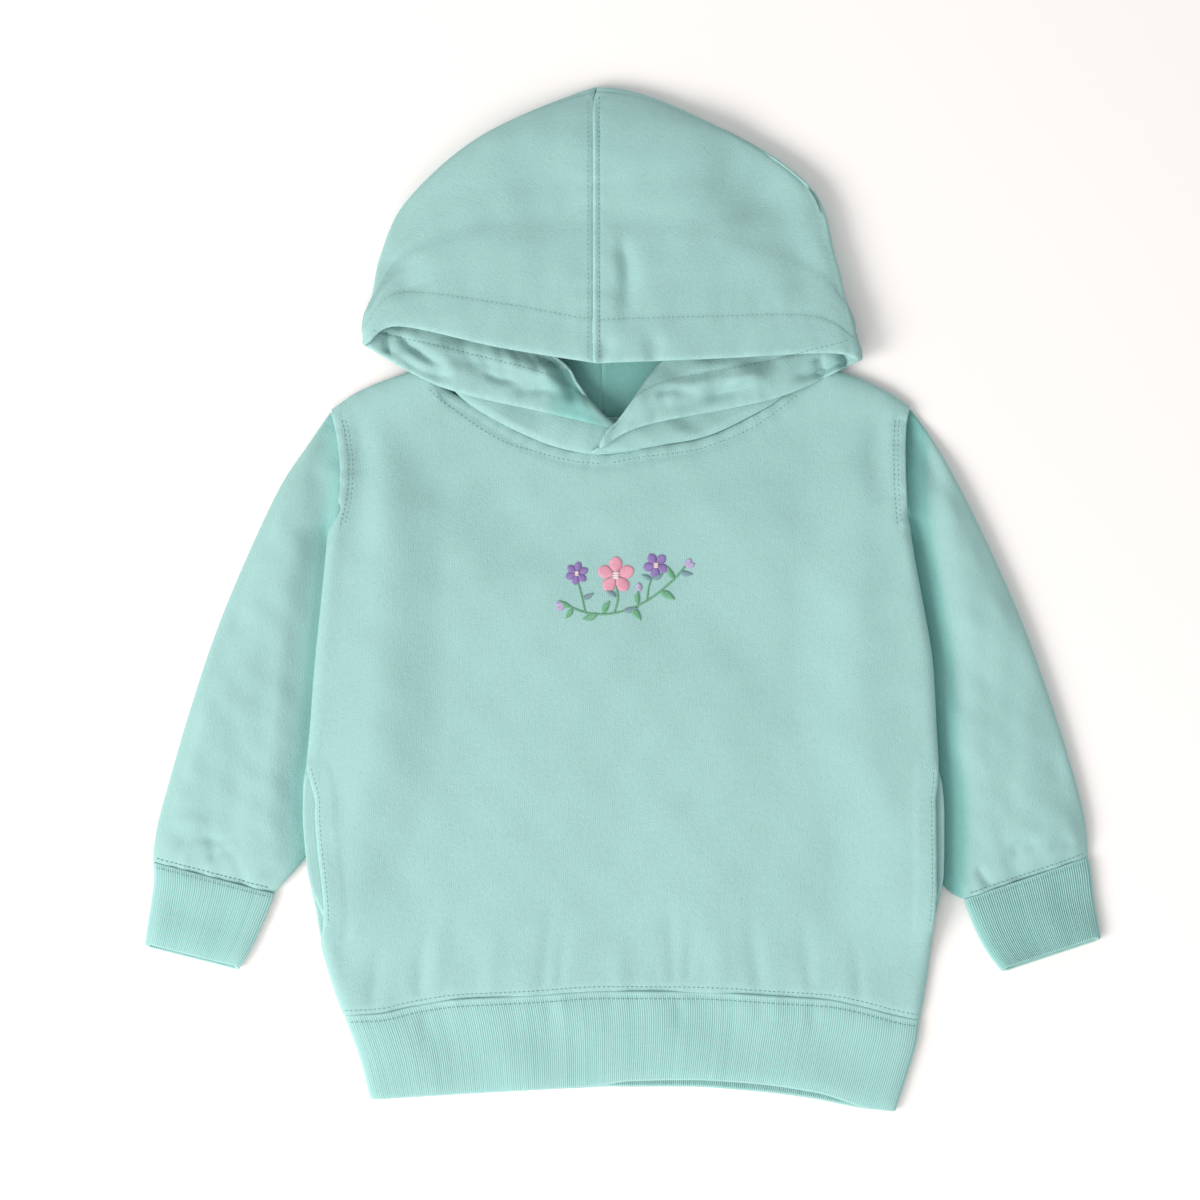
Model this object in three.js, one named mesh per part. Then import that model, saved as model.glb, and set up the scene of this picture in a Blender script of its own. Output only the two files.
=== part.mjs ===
// Toddler hoodie, laid flat on its back: hood up the +Y side, hem down the -Y side,
// underside on z = 0, front facing +Z. Millimetres. The origin is the middle of the
// floor outline. Every piece is cloth of a named thickness bent through sections.
import * as THREE from 'three';

// ---------------------------------------------------------------- named sizes
const CLOTH = 1.6;        // fleece-backed jersey
const RIB = 2.0;          // folded rib of cuffs and band
const GAP = 0.3;          // clearance at a seam
const ARM_GAP = 0.55;      // clearance at the curved armhole seams
const PLY_GAP = 3.6;      // air between front and back
const SLEEVE_H = 5.8;     // height of a flat sleeve
const CUFF_H = 7.2;       // height of a flat cuff
const BAND_H = 7.4;       // height of the flat waistband
const LIFT = 6.3;         // how far the body is raised where it lies on a sleeve
const LIFT_FLAT = 12;     // how far past a sleeve's inner edge it stays raised
const LIFT_RAMP = 42;     // width over which the body comes down to the floor again
const EDGE_ROLL = 6;      // width of the roll along a side seam
const MINT = 0xa6d3ce;

// ---------------------------------------------------------------- tables
// Side of the body, a row for each level: left and right silhouette.
const BODY = [
  { y: -229.1, left: -153.2, right: 163.6 },
  { y: -208.2, left: -160.5, right: 167.2 },
  { y: -184.5, left: -166.7, right: 170.2 },
  { y: -171.9, left: -168.6, right: 173.0 },
  { y: -154.3, left: -172.2, right: 176.3 },
  { y: -135.0, left: -174.6, right: 176.8 },
  { y: -117.4, left: -175.7, right: 176.8 },
  { y: -102.0, left: -175.7, right: 176.0 },
  { y: -92.7, left: -174.4, right: 173.8 },
  { y: -82.8, left: -172.4, right: 172.7 },
  { y: -36.0, left: -168.6, right: 170.0 },
  { y: -0.3, left: -165.0, right: 164.2 },
  { y: 22.3, left: -162.8, right: 159.0 },
  { y: 36.0, left: -161.6, right: 156.9 },
];
// How far the front's cut edge is set back from the silhouette at the pocket openings.
const SET_BACK = [
  { y: -190, left: 0, right: 0 },
  { y: -178, left: 4.0, right: 1.2 },
  { y: -150, left: 7.6, right: 5.0 },
  { y: -112, left: 8.2, right: 6.0 },
  { y: -96, left: 6.6, right: 4.6 },
  { y: -86, left: 0, right: 0.2 },
];
// Seam between body and waistband, from side to side.
const HEM = [
  { x: -153.2, y: -228.8 },
  { x: -135.6, y: -228.0 },
  { x: -114.1, y: -223.6 },
  { x: -93.2, y: -220.3 },
  { x: -50.9, y: -218.1 },
  { x: -9.1, y: -215.6 },
  { x: 38.2, y: -215.9 },
  { x: 88.8, y: -218.6 },
  { x: 114.1, y: -220.3 },
  { x: 132.8, y: -224.1 },
  { x: 151.5, y: -229.1 },
  { x: 163.6, y: -231.3 },
];
// Waistband's lower edge: front layer, and how far the back layer hangs below it.
const BAND_EDGE = [
  { x: -138.9, y: -274.6, back: 0.5 },
  { x: -98.7, y: -272.0, back: 0.5 },
  { x: -50.9, y: -269.2, back: 0.6 },
  { x: -13.5, y: -267.0, back: 1.0 },
  { x: 5.2, y: -264.3, back: 3.6 },
  { x: 38.2, y: -263.7, back: 4.2 },
  { x: 68.5, y: -265.4, back: 4.6 },
  { x: 107.5, y: -270.6, back: 4.2 },
  { x: 136.7, y: -279.4, back: 0.8 },
  { x: 150.4, y: -281.2, back: 0.0 },
];
const BAND_SIDE = [
  { t: 0.0, left: -153.2, right: 163.6 },
  { t: 0.2, left: -149.6, right: 162.4 },
  { t: 0.55, left: -144.0, right: 157.5 },
  { t: 1.0, left: -138.9, right: 150.4 },
];
// Front neck seam and back neck seam, from shoulder to shoulder.
const FRONT_NECK = [
  { x: -104.8, y: 128.4 },
  { x: -98.7, y: 117.4 },
  { x: -84.4, y: 108.1 },
  { x: -56.9, y: 92.1 },
  { x: -29.4, y: 82.0 },
  { x: -8.5, y: 79.9 },
  { x: 10.2, y: 83.5 },
  { x: 42.1, y: 88.3 },
  { x: 66.8, y: 98.7 },
  { x: 92.1, y: 114.1 },
  { x: 98.6, y: 120.0 },
  { x: 103.1, y: 128.4 },
];
const BACK_NECK = [
  { x: -104.8, y: 128.8 },
  { x: -83.9, y: 114.1 },
  { x: -61.9, y: 105.9 },
  { x: -24.5, y: 100.9 },
  { x: -10.2, y: 100.4 },
  { x: 9.6, y: 100.9 },
  { x: 31.6, y: 103.7 },
  { x: 59.1, y: 108.6 },
  { x: 83.9, y: 116.3 },
  { x: 103.1, y: 128.8 },
];
const SHOULDER = [
  { x: -159.4, y: 104.6 },
  { x: -145.5, y: 113.9 },
  { x: -119.1, y: 124.2 },
  { x: -104.8, y: 128.6 },
  { x: 103.1, y: 128.6 },
  { x: 126.0, y: 123.0 },
  { x: 144.0, y: 114.9 },
  { x: 157.0, y: 106.6 },
];
// Sleeves, a row for each section from the armhole to the cuff seam:
// the outer edge (ox, oy) and the inner, underarm edge (ix, iy).
const SLEEVES = {
  left: [
    { ox: -160.3, oy: 103.7, ix: -149.3, iy: -22.0 },
    { ox: -173.0, oy: 84.8, ix: -149.0, iy: -35.0 },
    { ox: -188.4, oy: 61.3, ix: -148.9, iy: -46.8 },
    { ox: -207.6, oy: 20.6, ix: -149.9, iy: -66.3 },
    { ox: -224.1, oy: -19.5, ix: -152.6, iy: -84.8 },
    { ox: -237.9, oy: -60.8, ix: -158.1, iy: -105.0 },
    { ox: -248.9, oy: -98.2, ix: -165.3, iy: -124.3 },
    { ox: -256.0, oy: -124.6, ix: -174.1, iy: -141.4 },
    { ox: -258.8, oy: -143.8, ix: -191.7, iy: -161.3 },
  ],
  right: [
    { ox: 158.1, oy: 105.3, ix: 146.5, iy: -22.0 },
    { ox: 170.4, oy: 87.9, ix: 146.2, iy: -35.0 },
    { ox: 185.6, oy: 61.2, ix: 146.1, iy: -46.8 },
    { ox: 203.8, oy: 23.9, ix: 147.4, iy: -66.3 },
    { ox: 219.7, oy: -12.4, ix: 151.5, iy: -84.8 },
    { ox: 234.6, oy: -53.1, ix: 158.1, iy: -105.0 },
    { ox: 246.1, oy: -89.4, ix: 165.8, iy: -128.8 },
    { ox: 253.8, oy: -118.5, ix: 176.3, iy: -156.5 },
    { ox: 256.3, oy: -141.2, ix: 187.3, iy: -164.7 },
  ],
};
const CUFFS = {
  left: [
    { ox: -258.7, oy: -144.8, ix: -191.3, iy: -162.4 },
    { ox: -257.9, oy: -153.7, ix: -193.6, iy: -169.3 },
    { ox: -259.6, oy: -168.0, ix: -198.8, iy: -181.4 },
    { ox: -261.5, oy: -179.6, ix: -204.4, iy: -193.2 },
    { ox: -262.9, oy: -190.0, ix: -210.4, iy: -203.2 },
  ],
  right: [
    { ox: 256.5, oy: -142.2, ix: 188.0, iy: -165.6 },
    { ox: 257.9, oy: -151.5, ix: 191.0, iy: -173.6 },
    { ox: 259.3, oy: -163.7, ix: 195.5, iy: -184.4 },
    { ox: 261.2, oy: -175.2, ix: 201.8, iy: -195.4 },
    { ox: 263.2, oy: -186.2, ix: 208.7, iy: -204.3 },
  ],
};
// Hood halves in plan, a row for each line from the neck seam to the centre seam.
// n: neck seam; r: roll at the neck; f, g: along the turned-out front; s: silhouette;
// c, d: along the crown; k: centre seam. Row 0 is the face edge, the last but
// one the back seam, and the last leads the curves on past it.
const HOOD = {
  left: [
    { nx: 9.6, ny: 83.0, rx: -0.3, ry: 93.2, fx: -37.7, fy: 102.0, gx: -98.7, gy: 116.9, sx: -141.1, sy: 140.0, cx: -122.4, cy: 149.9, dx: -67.4, dy: 138.3, kx: -15.8, ky: 129.8 },
    { nx: -9.1, ny: 80.6, rx: -10.2, ry: 99.8, fx: -39.9, fy: 111.9, gx: -97.1, gy: 126.8, sx: -141.1, sy: 143.8, cx: -122.4, cy: 158.7, dx: -67.4, dy: 149.3, kx: -16.0, ky: 140.0 },
    { nx: -23.4, ny: 81.4, rx: -16.8, ry: 107.0, fx: -41.0, fy: 122.9, gx: -96.0, gy: 137.8, sx: -141.6, sy: 148.2, cx: -122.4, cy: 167.5, dx: -67.4, dy: 162.0, kx: -16.2, ky: 152.6 },
    { nx: -42.6, ny: 86.4, rx: -25.0, ry: 118.5, fx: -48.1, fy: 133.9, gx: -96.0, gy: 146.0, sx: -141.1, sy: 152.6, cx: -121.3, cy: 173.5, dx: -67.4, dy: 173.5, kx: -16.2, ky: 166.9 },
    { nx: -68.5, ny: 98.4, rx: -33.8, ry: 130.6, fx: -59.1, fy: 142.5, gx: -97.1, gy: 152.5, sx: -140.3, sy: 157.0, cx: -120.2, cy: 179.5, dx: -67.4, dy: 186.0, kx: -16.2, ky: 182.3 },
    { nx: -89.5, ny: 112.4, rx: -67.4, ry: 150.5, fx: -90.0, fy: 152.5, gx: -112.0, gy: 157.0, sx: -138.9, sy: 161.4, cx: -118.6, cy: 186.0, dx: -67.4, dy: 199.0, kx: -16.2, ky: 197.7 },
    { nx: -102.6, ny: 131.5, rx: -119.6, ry: 163.5, fx: -125.1, fy: 165.3, gx: -130.6, gy: 166.2, sx: -136.7, sy: 166.9, cx: -116.5, cy: 193.5, dx: -67.4, dy: 213.5, kx: -16.2, ky: 214.2 },
    { nx: -80.0, ny: 115.6, rx: -88.0, ry: 150.0, fx: -103.5, fy: 168.0, gx: -122.4, gy: 180.1, sx: -132.3, sy: 188.9, cx: -107.0, cy: 211.5, dx: -61.9, dy: 232.5, kx: -16.2, ky: 233.5 },
    { nx: -56.4, ny: 106.1, rx: -66.5, ry: 152.5, fx: -88.0, fy: 184.0, gx: -108.6, gy: 203.2, sx: -118.0, sy: 218.6, cx: -92.1, cy: 239.0, dx: -56.4, dy: 252.7, kx: -16.2, ky: 250.0 },
    { nx: -33.3, ny: 103.0, rx: -42.6, ry: 164.7, fx: -53.6, fy: 206.0, gx: -64.6, gy: 236.2, sx: -77.3, sy: 254.4, cx: -59.1, cy: 262.6, dx: -37.1, dy: 266.5, kx: -16.2, ky: 264.8 },
    { nx: -10.9, ny: 101.0, rx: -12.6, ry: 153.7, fx: -13.7, fy: 197.7, gx: -14.2, gy: 247.2, sx: -14.9, sy: 281.3, cx: -15.6, cy: 278.0, dx: -16.1, dy: 275.8, kx: -16.3, ky: 273.6 },
    { nx: -10.9, ny: 101.0, rx: -12.6, ry: 153.7, fx: -13.7, fy: 197.7, gx: -14.2, gy: 247.2, sx: 10.0, sy: 281.3, cx: -15.6, cy: 278.0, dx: -16.1, dy: 275.8, kx: -16.3, ky: 273.6 },
  ],
  right: [
    { nx: -16.8, ny: 81.4, rx: -11.8, ry: 83.6, fx: 12.9, fy: 96.0, gx: 83.3, gy: 110.8, sx: 129.6, sy: 131.5, cx: 112.8, cy: 135.3, dx: 53.1, dy: 132.3, kx: -15.4, ky: 129.5 },
    { nx: 1.4, ny: 82.2, rx: -9.1, ry: 90.5, fx: 15.1, fy: 107.0, gx: 81.1, gy: 120.7, sx: 129.0, sy: 137.2, cx: 108.6, cy: 143.8, dx: 50.9, dy: 141.6, kx: -15.6, ky: 139.4 },
    { nx: 20.6, ny: 85.2, rx: -0.3, ry: 99.3, fx: 17.9, fy: 117.4, gx: 79.5, gy: 130.6, sx: 127.3, sy: 142.7, cx: 104.2, cy: 154.8, dx: 49.2, dy: 154.8, kx: -15.8, ky: 152.6 },
    { nx: 45.4, ny: 89.9, rx: 9.6, ry: 113.6, fx: 25.0, fy: 129.5, gx: 78.4, gy: 140.6, sx: 126.2, sy: 148.8, cx: 103.1, cy: 165.0, dx: 48.1, dy: 168.0, kx: -15.8, ky: 166.9 },
    { nx: 69.0, ny: 100.6, rx: 21.7, ry: 127.9, fx: 37.1, fy: 140.0, gx: 76.7, gy: 149.6, sx: 125.1, sy: 154.3, cx: 102.2, cy: 171.5, dx: 47.0, dy: 181.5, kx: -15.8, ky: 182.3 },
    { nx: 88.6, ny: 112.9, rx: 53.6, ry: 149.0, fx: 73.5, fy: 150.8, gx: 94.0, gy: 155.5, sx: 123.8, sy: 159.8, cx: 101.0, cy: 179.5, dx: 45.9, dy: 195.0, kx: -15.8, ky: 197.7 },
    { nx: 101.0, ny: 131.5, rx: 107.5, ry: 163.1, fx: 111.9, fy: 164.7, gx: 116.3, gy: 165.3, sx: 121.8, sy: 165.3, cx: 99.5, cy: 188.0, dx: 44.3, dy: 209.0, kx: -15.8, ky: 214.2 },
    { nx: 76.7, ny: 116.0, rx: 79.0, ry: 147.5, fx: 92.0, fy: 167.0, gx: 107.0, gy: 178.5, sx: 116.3, sy: 188.9, cx: 92.5, cy: 210.0, dx: 41.0, dy: 229.5, kx: -15.8, ky: 233.5 },
    { nx: 45.4, ny: 106.8, rx: 58.5, ry: 152.0, fx: 77.0, fy: 184.0, gx: 94.9, gy: 206.0, sx: 103.1, sy: 225.8, cx: 77.3, cy: 241.7, dx: 34.4, dy: 251.6, kx: -15.8, ky: 250.0 },
    { nx: 15.1, ny: 102.2, rx: 26.1, ry: 164.7, fx: 37.1, fy: 206.0, gx: 45.4, gy: 241.7, sx: 53.6, sy: 258.8, cx: 37.1, cy: 263.7, dx: 12.4, dy: 266.5, kx: -15.8, ky: 264.8 },
    { nx: -10.3, ny: 101.0, rx: -12.0, ry: 153.7, fx: -13.1, fy: 197.7, gx: -13.6, gy: 247.2, sx: -13.5, sy: 281.3, cx: -14.3, cy: 278.0, dx: -15.0, dy: 275.8, kx: -15.6, ky: 273.6 },
    { nx: -10.3, ny: 101.0, rx: -12.0, ry: 153.7, fx: -13.1, fy: 197.7, gx: -13.6, gy: 247.2, sx: -77.3, sy: 254.4, cx: -59.1, cy: 262.6, dx: -37.1, dy: 266.5, kx: -15.6, ky: 273.6 },
  ],
};
// Heights of the same points. a: stand under the roll; b: front over it; s: under the
// silhouette fold; t: over it.
const HOOD_Z = {
  left: [
    { n: 7.1, a: 7.6, b: 9.0, f: 9.9, g: 9.4, s: 8.2, t: 11.6, c: 12.8, d: 14.6, k: 15.4 },
    { n: 7.1, a: 7.1, b: 10.0, f: 10.2, g: 9.6, s: 8.0, t: 11.6, c: 13.2, d: 15.0, k: 15.4 },
    { n: 7.1, a: 7.0, b: 10.3, f: 10.4, g: 9.7, s: 7.8, t: 11.5, c: 13.2, d: 15.0, k: 15.3 },
    { n: 7.0, a: 6.9, b: 10.3, f: 10.4, g: 9.7, s: 7.6, t: 11.4, c: 13.2, d: 14.8, k: 15.2 },
    { n: 6.8, a: 6.7, b: 10.2, f: 10.1, g: 9.4, s: 7.3, t: 11.3, c: 13.2, d: 14.6, k: 15.0 },
    { n: 6.4, a: 6.0, b: 9.4, f: 9.2, g: 8.6, s: 6.6, t: 11.1, c: 13.2, d: 14.4, k: 14.8 },
    { n: 3.3, a: 3.4, b: 5.6, f: 5.6, g: 5.4, s: 4.8, t: 10.8, c: 13.0, d: 14.2, k: 14.6 },
    { n: 0.8, a: 0.8, b: 0.8, f: 0.8, g: 0.8, s: 0.8, t: 10.4, c: 12.8, d: 14.0, k: 14.4 },
    { n: 0.8, a: 0.8, b: 0.8, f: 0.8, g: 0.8, s: 0.8, t: 9.8, c: 12.0, d: 13.0, k: 13.4 },
    { n: 0.8, a: 0.8, b: 0.8, f: 0.8, g: 0.8, s: 0.8, t: 8.8, c: 10.6, d: 11.4, k: 11.8 },
    { n: 0.8, a: 0.8, b: 0.8, f: 0.8, g: 0.8, s: 0.8, t: 7.6, c: 8.4, d: 9.0, k: 9.4 },
  ],
  right: [
    { n: 9.2, a: 9.9, b: 12.0, f: 13.4, g: 10.4, s: 8.4, t: 11.8, c: 13.0, d: 14.8, k: 15.4 },
    { n: 9.2, a: 11.8, b: 14.8, f: 13.8, g: 10.6, s: 8.4, t: 11.8, c: 13.2, d: 15.0, k: 15.4 },
    { n: 8.6, a: 11.8, b: 15.0, f: 13.6, g: 10.6, s: 8.2, t: 11.6, c: 13.2, d: 15.0, k: 15.3 },
    { n: 7.6, a: 9.4, b: 12.6, f: 12.0, g: 10.0, s: 7.8, t: 11.5, c: 13.2, d: 14.9, k: 15.2 },
    { n: 7.0, a: 7.6, b: 11.0, f: 10.8, g: 9.6, s: 7.5, t: 11.3, c: 13.2, d: 14.6, k: 15.0 },
    { n: 6.4, a: 6.0, b: 9.4, f: 9.2, g: 8.6, s: 6.6, t: 11.1, c: 13.2, d: 14.4, k: 14.8 },
    { n: 3.3, a: 3.4, b: 5.6, f: 5.6, g: 5.4, s: 4.8, t: 10.8, c: 13.0, d: 14.2, k: 14.6 },
    { n: 0.8, a: 0.8, b: 0.8, f: 0.8, g: 0.8, s: 0.8, t: 10.4, c: 12.8, d: 14.0, k: 14.4 },
    { n: 0.8, a: 0.8, b: 0.8, f: 0.8, g: 0.8, s: 0.8, t: 9.8, c: 12.0, d: 13.0, k: 13.4 },
    { n: 0.8, a: 0.8, b: 0.8, f: 0.8, g: 0.8, s: 0.8, t: 8.8, c: 10.6, d: 11.4, k: 11.8 },
    { n: 0.8, a: 0.8, b: 0.8, f: 0.8, g: 0.8, s: 0.8, t: 7.6, c: 8.4, d: 9.0, k: 9.4 },
  ],
};
// Pocket bag, a row for each level: how deep it reaches in from the silhouette.
const POCKET = [
  { y: -184, depth: 36, strip: 0 },
  { y: -178, depth: 47, strip: 0.5 },
  { y: -150, depth: 53, strip: 1 },
  { y: -120, depth: 53, strip: 1 },
  { y: -100, depth: 48, strip: 0.9 },
  { y: -90, depth: 42, strip: 0.2 },
];
const POCKET_WALL = 0.8;

// ---------------------------------------------------------------- curves
const clamp01 = (v) => Math.min(1, Math.max(0, v));
const smooth = (v) => { const t = clamp01(v); return t * t * (3 - 2 * t); };
const mix = (a, b, t) => a + (b - a) * t;

// Value of column `out` where column `at` equals v, through a monotone cubic.
function lookup(rows, at, out, v) {
  const up = rows[rows.length - 1][at] > rows[0][at];
  const list = up ? rows : [...rows].reverse();
  const n = list.length;
  if (v <= list[0][at]) return list[0][out];
  if (v >= list[n - 1][at]) return list[n - 1][out];
  const slope = (i) => (list[i + 1][out] - list[i][out]) / (list[i + 1][at] - list[i][at]);
  const tangent = (i) => {
    if (i === 0) return slope(0);
    if (i === n - 1) return slope(n - 2);
    const a = slope(i - 1), b = slope(i);
    return a * b <= 0 ? 0 : (2 * a * b) / (a + b);
  };
  let i = 0;
  while (v > list[i + 1][at]) i += 1;
  const h = list[i + 1][at] - list[i][at], t = (v - list[i][at]) / h;
  const t2 = t * t, t3 = t2 * t;
  return (2 * t3 - 3 * t2 + 1) * list[i][out] + (t3 - 2 * t2 + t) * h * tangent(i)
    + (3 * t2 - 2 * t3) * list[i + 1][out] + (t3 - t2) * h * tangent(i + 1);
}
// Catmull-Rom through values at whole-number places.
function through(values, p) {
  const n = values.length, i = Math.min(n - 2, Math.max(0, Math.floor(p))), t = p - i;
  const a = values[Math.max(0, i - 1)], b = values[i], c = values[i + 1], d = values[Math.min(n - 1, i + 2)];
  return 0.5 * (2 * b + (c - a) * t + (2 * a - 5 * b + 4 * c - d) * t * t + (3 * b - a - 3 * c + d) * t * t * t);
}
const frontNeck = (x) => lookup(FRONT_NECK, 'x', 'y', x);
const backNeck = (x) => lookup(BACK_NECK, 'x', 'y', x);
const shoulder = (x) => lookup(SHOULDER, 'x', 'y', x);
const hem = (x) => lookup(HEM, 'x', 'y', x);

// ---------------------------------------------------------------- cloth solids
// A wall of the given thickness about a grid of points, closed all round.
// ring: the last column joins the first.
function wall(name, grid, thickness, ring = false) {
  const rows = grid.length, cols = grid[0].length;
  const at = (i, j) => grid[i][ring ? (j + cols) % cols : j];
  const sides = [[], []];
  const u = new THREE.Vector3(), v = new THREE.Vector3();
  const raw = grid.map((row, i) => row.map((_, j) => {
    const j0 = ring ? j - 1 : Math.max(0, j - 1), j1 = ring ? j + 1 : Math.min(cols - 1, j + 1);
    u.subVectors(at(i, j1), at(i, j0)).normalize();
    v.subVectors(at(Math.min(rows - 1, i + 1), j), at(Math.max(0, i - 1), j)).normalize();
    return new THREE.Vector3().crossVectors(u, v);
  }));
  // where the two directions nearly agree the normal is the mean of those about it
  const near = (i, j) => {
    if (raw[i][j].length() > 0.3) return raw[i][j].clone().normalize();
    const sum = new THREE.Vector3();
    for (let a = -1; a <= 1; a += 1) {
      for (let b = -1; b <= 1; b += 1) {
        const k = ring ? (j + b + cols) % cols : j + b;
        if (i + a >= 0 && i + a < rows && k >= 0 && k < cols) sum.add(raw[i + a][k]);
      }
    }
    return sum.normalize();
  };
  for (let i = 0; i < rows; i += 1) {
    for (let j = 0; j < cols; j += 1) {
      const normal = near(i, j);
      sides[0].push(at(i, j).clone().addScaledVector(normal, thickness / 2));
      sides[1].push(at(i, j).clone().addScaledVector(normal, -thickness / 2));
    }
  }
  const points = [...sides[0], ...sides[1]], base = rows * cols, faces = [];
  const id = (s, i, j) => s * base + i * cols + (ring ? j % cols : j);
  const quad = (a, b, c, d) => faces.push([a, b, c], [a, c, d]);
  const last = ring ? cols : cols - 1;
  for (let i = 0; i < rows - 1; i += 1) {
    for (let j = 0; j < last; j += 1) {
      quad(id(0, i, j), id(0, i, j + 1), id(0, i + 1, j + 1), id(0, i + 1, j));
      quad(id(1, i, j), id(1, i + 1, j), id(1, i + 1, j + 1), id(1, i, j + 1));
    }
  }
  for (let j = 0; j < last; j += 1) {
    quad(id(0, 0, j), id(1, 0, j), id(1, 0, j + 1), id(0, 0, j + 1));
    quad(id(0, rows - 1, j), id(0, rows - 1, j + 1), id(1, rows - 1, j + 1), id(1, rows - 1, j));
  }
  if (!ring) {
    for (let i = 0; i < rows - 1; i += 1) {
      quad(id(0, i, 0), id(0, i + 1, 0), id(1, i + 1, 0), id(1, i, 0));
      quad(id(0, i, cols - 1), id(1, i, cols - 1), id(1, i + 1, cols - 1), id(0, i + 1, cols - 1));
    }
  }
  let volume = 0;
  for (const [a, b, c] of faces) volume += points[a].dot(new THREE.Vector3().crossVectors(points[b], points[c]));
  const index = volume < 0 ? faces.flatMap(([a, b, c]) => [a, c, b]) : faces.flat();
  const geometry = new THREE.BufferGeometry();
  geometry.setAttribute('position', new THREE.Float32BufferAttribute(points.flatMap((p) => [p.x, p.y, p.z]), 3));
  geometry.setIndex(index);
  geometry.computeVertexNormals();
  const mesh = new THREE.Mesh(geometry, new THREE.MeshStandardMaterial({ color: MINT, roughness: 0.95, metalness: 0 }));
  mesh.name = name;
  return mesh;
}

// ---------------------------------------------------------------- body
const ARM_TOP = 103.7, ARM_LOW = 45;      // levels between which the armhole seam shows
const armhole = (side, y) => {
  const row = SLEEVES[side][0], f = clamp01((row.oy - y) / (row.oy - row.iy));
  const into = side === 'left' ? 1 : -1;
  return mix(row.ox, row.ix, f) + into * 3.2 * Math.exp(-(((f - 0.2) / 0.13) ** 2));
};
const silhouette = (side, y) => {
  const into = side === 'left' ? 1 : -1;
  const seam = armhole(side, y) + into * ARM_GAP;
  if (y >= ARM_LOW) return seam;
  const out = lookup(BODY, 'y', side, y);
  return mix(out, seam, smooth((y - 36) / (ARM_LOW - 36)));
};
// Height by which the body is raised over the sleeves.
function lift(x, y) {
  const side = x < 0 ? 'left' : 'right', sign = x < 0 ? 1 : -1;
  const inner = Math.abs(lookup(SLEEVES[side].map((r) => ({ y: r.iy, x: r.ix })), 'y', 'x', Math.max(y, -132)));
  const level = smooth((100 - y) / 50) * smooth((y + 206) / 48);
  return LIFT * level * smooth((sign * x * -1 - inner + LIFT_FLAT + LIFT_RAMP) / LIFT_RAMP);
}
const roll = (d, width) => Math.sqrt(1 - (1 - clamp01(d / width)) ** 2);

// Columns near the edges are set in by these widths, the rest are even.
const EDGE_STEPS = { front: [0, 1.2, 3.2, 7, 15, 27, 39, 51, 63], back: [0, 7, 18, 30, 42, 54, 66] };
function acrossSteps(kind, width, count) {
  const near = EDGE_STEPS[kind].map((d) => d / width), list = [...near];
  const from = near[near.length - 1];
  for (let i = 1; i < count; i += 1) list.push(mix(from, 1 - from, i / count));
  return [...list, ...near.slice().reverse().map((d) => 1 - d)];
}
const LEVELS_FRONT = [0, 0.07, 0.13, 0.16, 0.2, 0.24, 0.27, 0.3, 0.34, 0.385, 0.43, 0.54, 0.66, 0.79, 0.825, 0.86, 0.92, 0.965, 1];
const LEVELS_BACK = [0, 0.07, 0.13, 0.16, 0.2, 0.24, 0.27, 0.3, 0.35, 0.41, 0.54, 0.66, 0.79, 0.825, 0.88, 0.94, 1];

function panelGrid(kind, levels, across) {
  const neck = kind === 'front' ? frontNeck : backNeck;
  const side = (which, v) => {
    const low = hem(which === 'left' ? -153.2 : 163.6), top = shoulder(which === 'left' ? -158.6 : 156.4);
    const y = mix(low, top, v);
    const into = which === 'left' ? 1 : -1;
    const back = kind === 'front' ? lookup(SET_BACK, 'y', which, y) : 0.8 * smooth((ARM_LOW - y) / 10);
    return { x: silhouette(which, y) + into * back, y };
  };
  const topY = (x) => (x > -104.8 && x < 103.1 ? neck(x) : shoulder(x)) - GAP * 0.5;
  return levels.map((v) => {
    const l = side('left', v), r = side('right', v), lt = side('left', 1), rt = side('right', 1), lb = side('left', 0), rb = side('right', 0);
    return acrossSteps(kind, 335, across).map((u) => {
      const xb = mix(lb.x, rb.x, u), xt = mix(lt.x, rt.x, u);
      const x = mix(l.x, r.x, u);
      const y = mix(l.y, r.y, u)
        + (1 - v) * (hem(xb) + GAP - mix(lb.y, rb.y, u))
        + v * (topY(xt) - mix(lt.y, rt.y, u));
      return { x, y, xt, u, v, reach: topY(xt) - y };
    });
  });
}
function frontPanel() {
  const grid = panelGrid('front', LEVELS_FRONT, 6).map((row) => row.map((p) => {
    const floor = CLOTH / 2 + lift(p.x, p.y), edge = floor + CLOTH + GAP, full = floor + CLOTH + PLY_GAP;
    const d = Math.min(p.u, 1 - p.u) * 335;
    const open = smooth(lookup(SET_BACK, 'y', p.u < 0.5 ? 'left' : 'right', p.y) / 1.5);
    const rolled = smooth((56 - p.y) / 12) * (1 - open);
    let z = mix(full, mix(edge, full, roll(d, EDGE_ROLL)), rolled);
    // down to the back along the shoulder seams, and a little at the neck seam
    const onShoulder = p.xt < -104.8 || p.xt > 103.1;
    const drop = onShoulder ? full - edge : 1.1 + 1.4 * smooth((Math.abs(p.xt) - 84) / 20);
    z -= drop * (1 - roll(p.reach + 0.001, onShoulder ? 9 : 14));
    return new THREE.Vector3(p.x, p.y, z);
  }));
  return wall('front_panel', grid, CLOTH);
}
function backPanel() {
  const grid = panelGrid('back', LEVELS_BACK, 7)
    .map((row) => row.map((p) => new THREE.Vector3(p.x, p.y, CLOTH / 2 + lift(p.x, p.y))));
  return wall('back_panel', grid, CLOTH);
}

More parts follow.
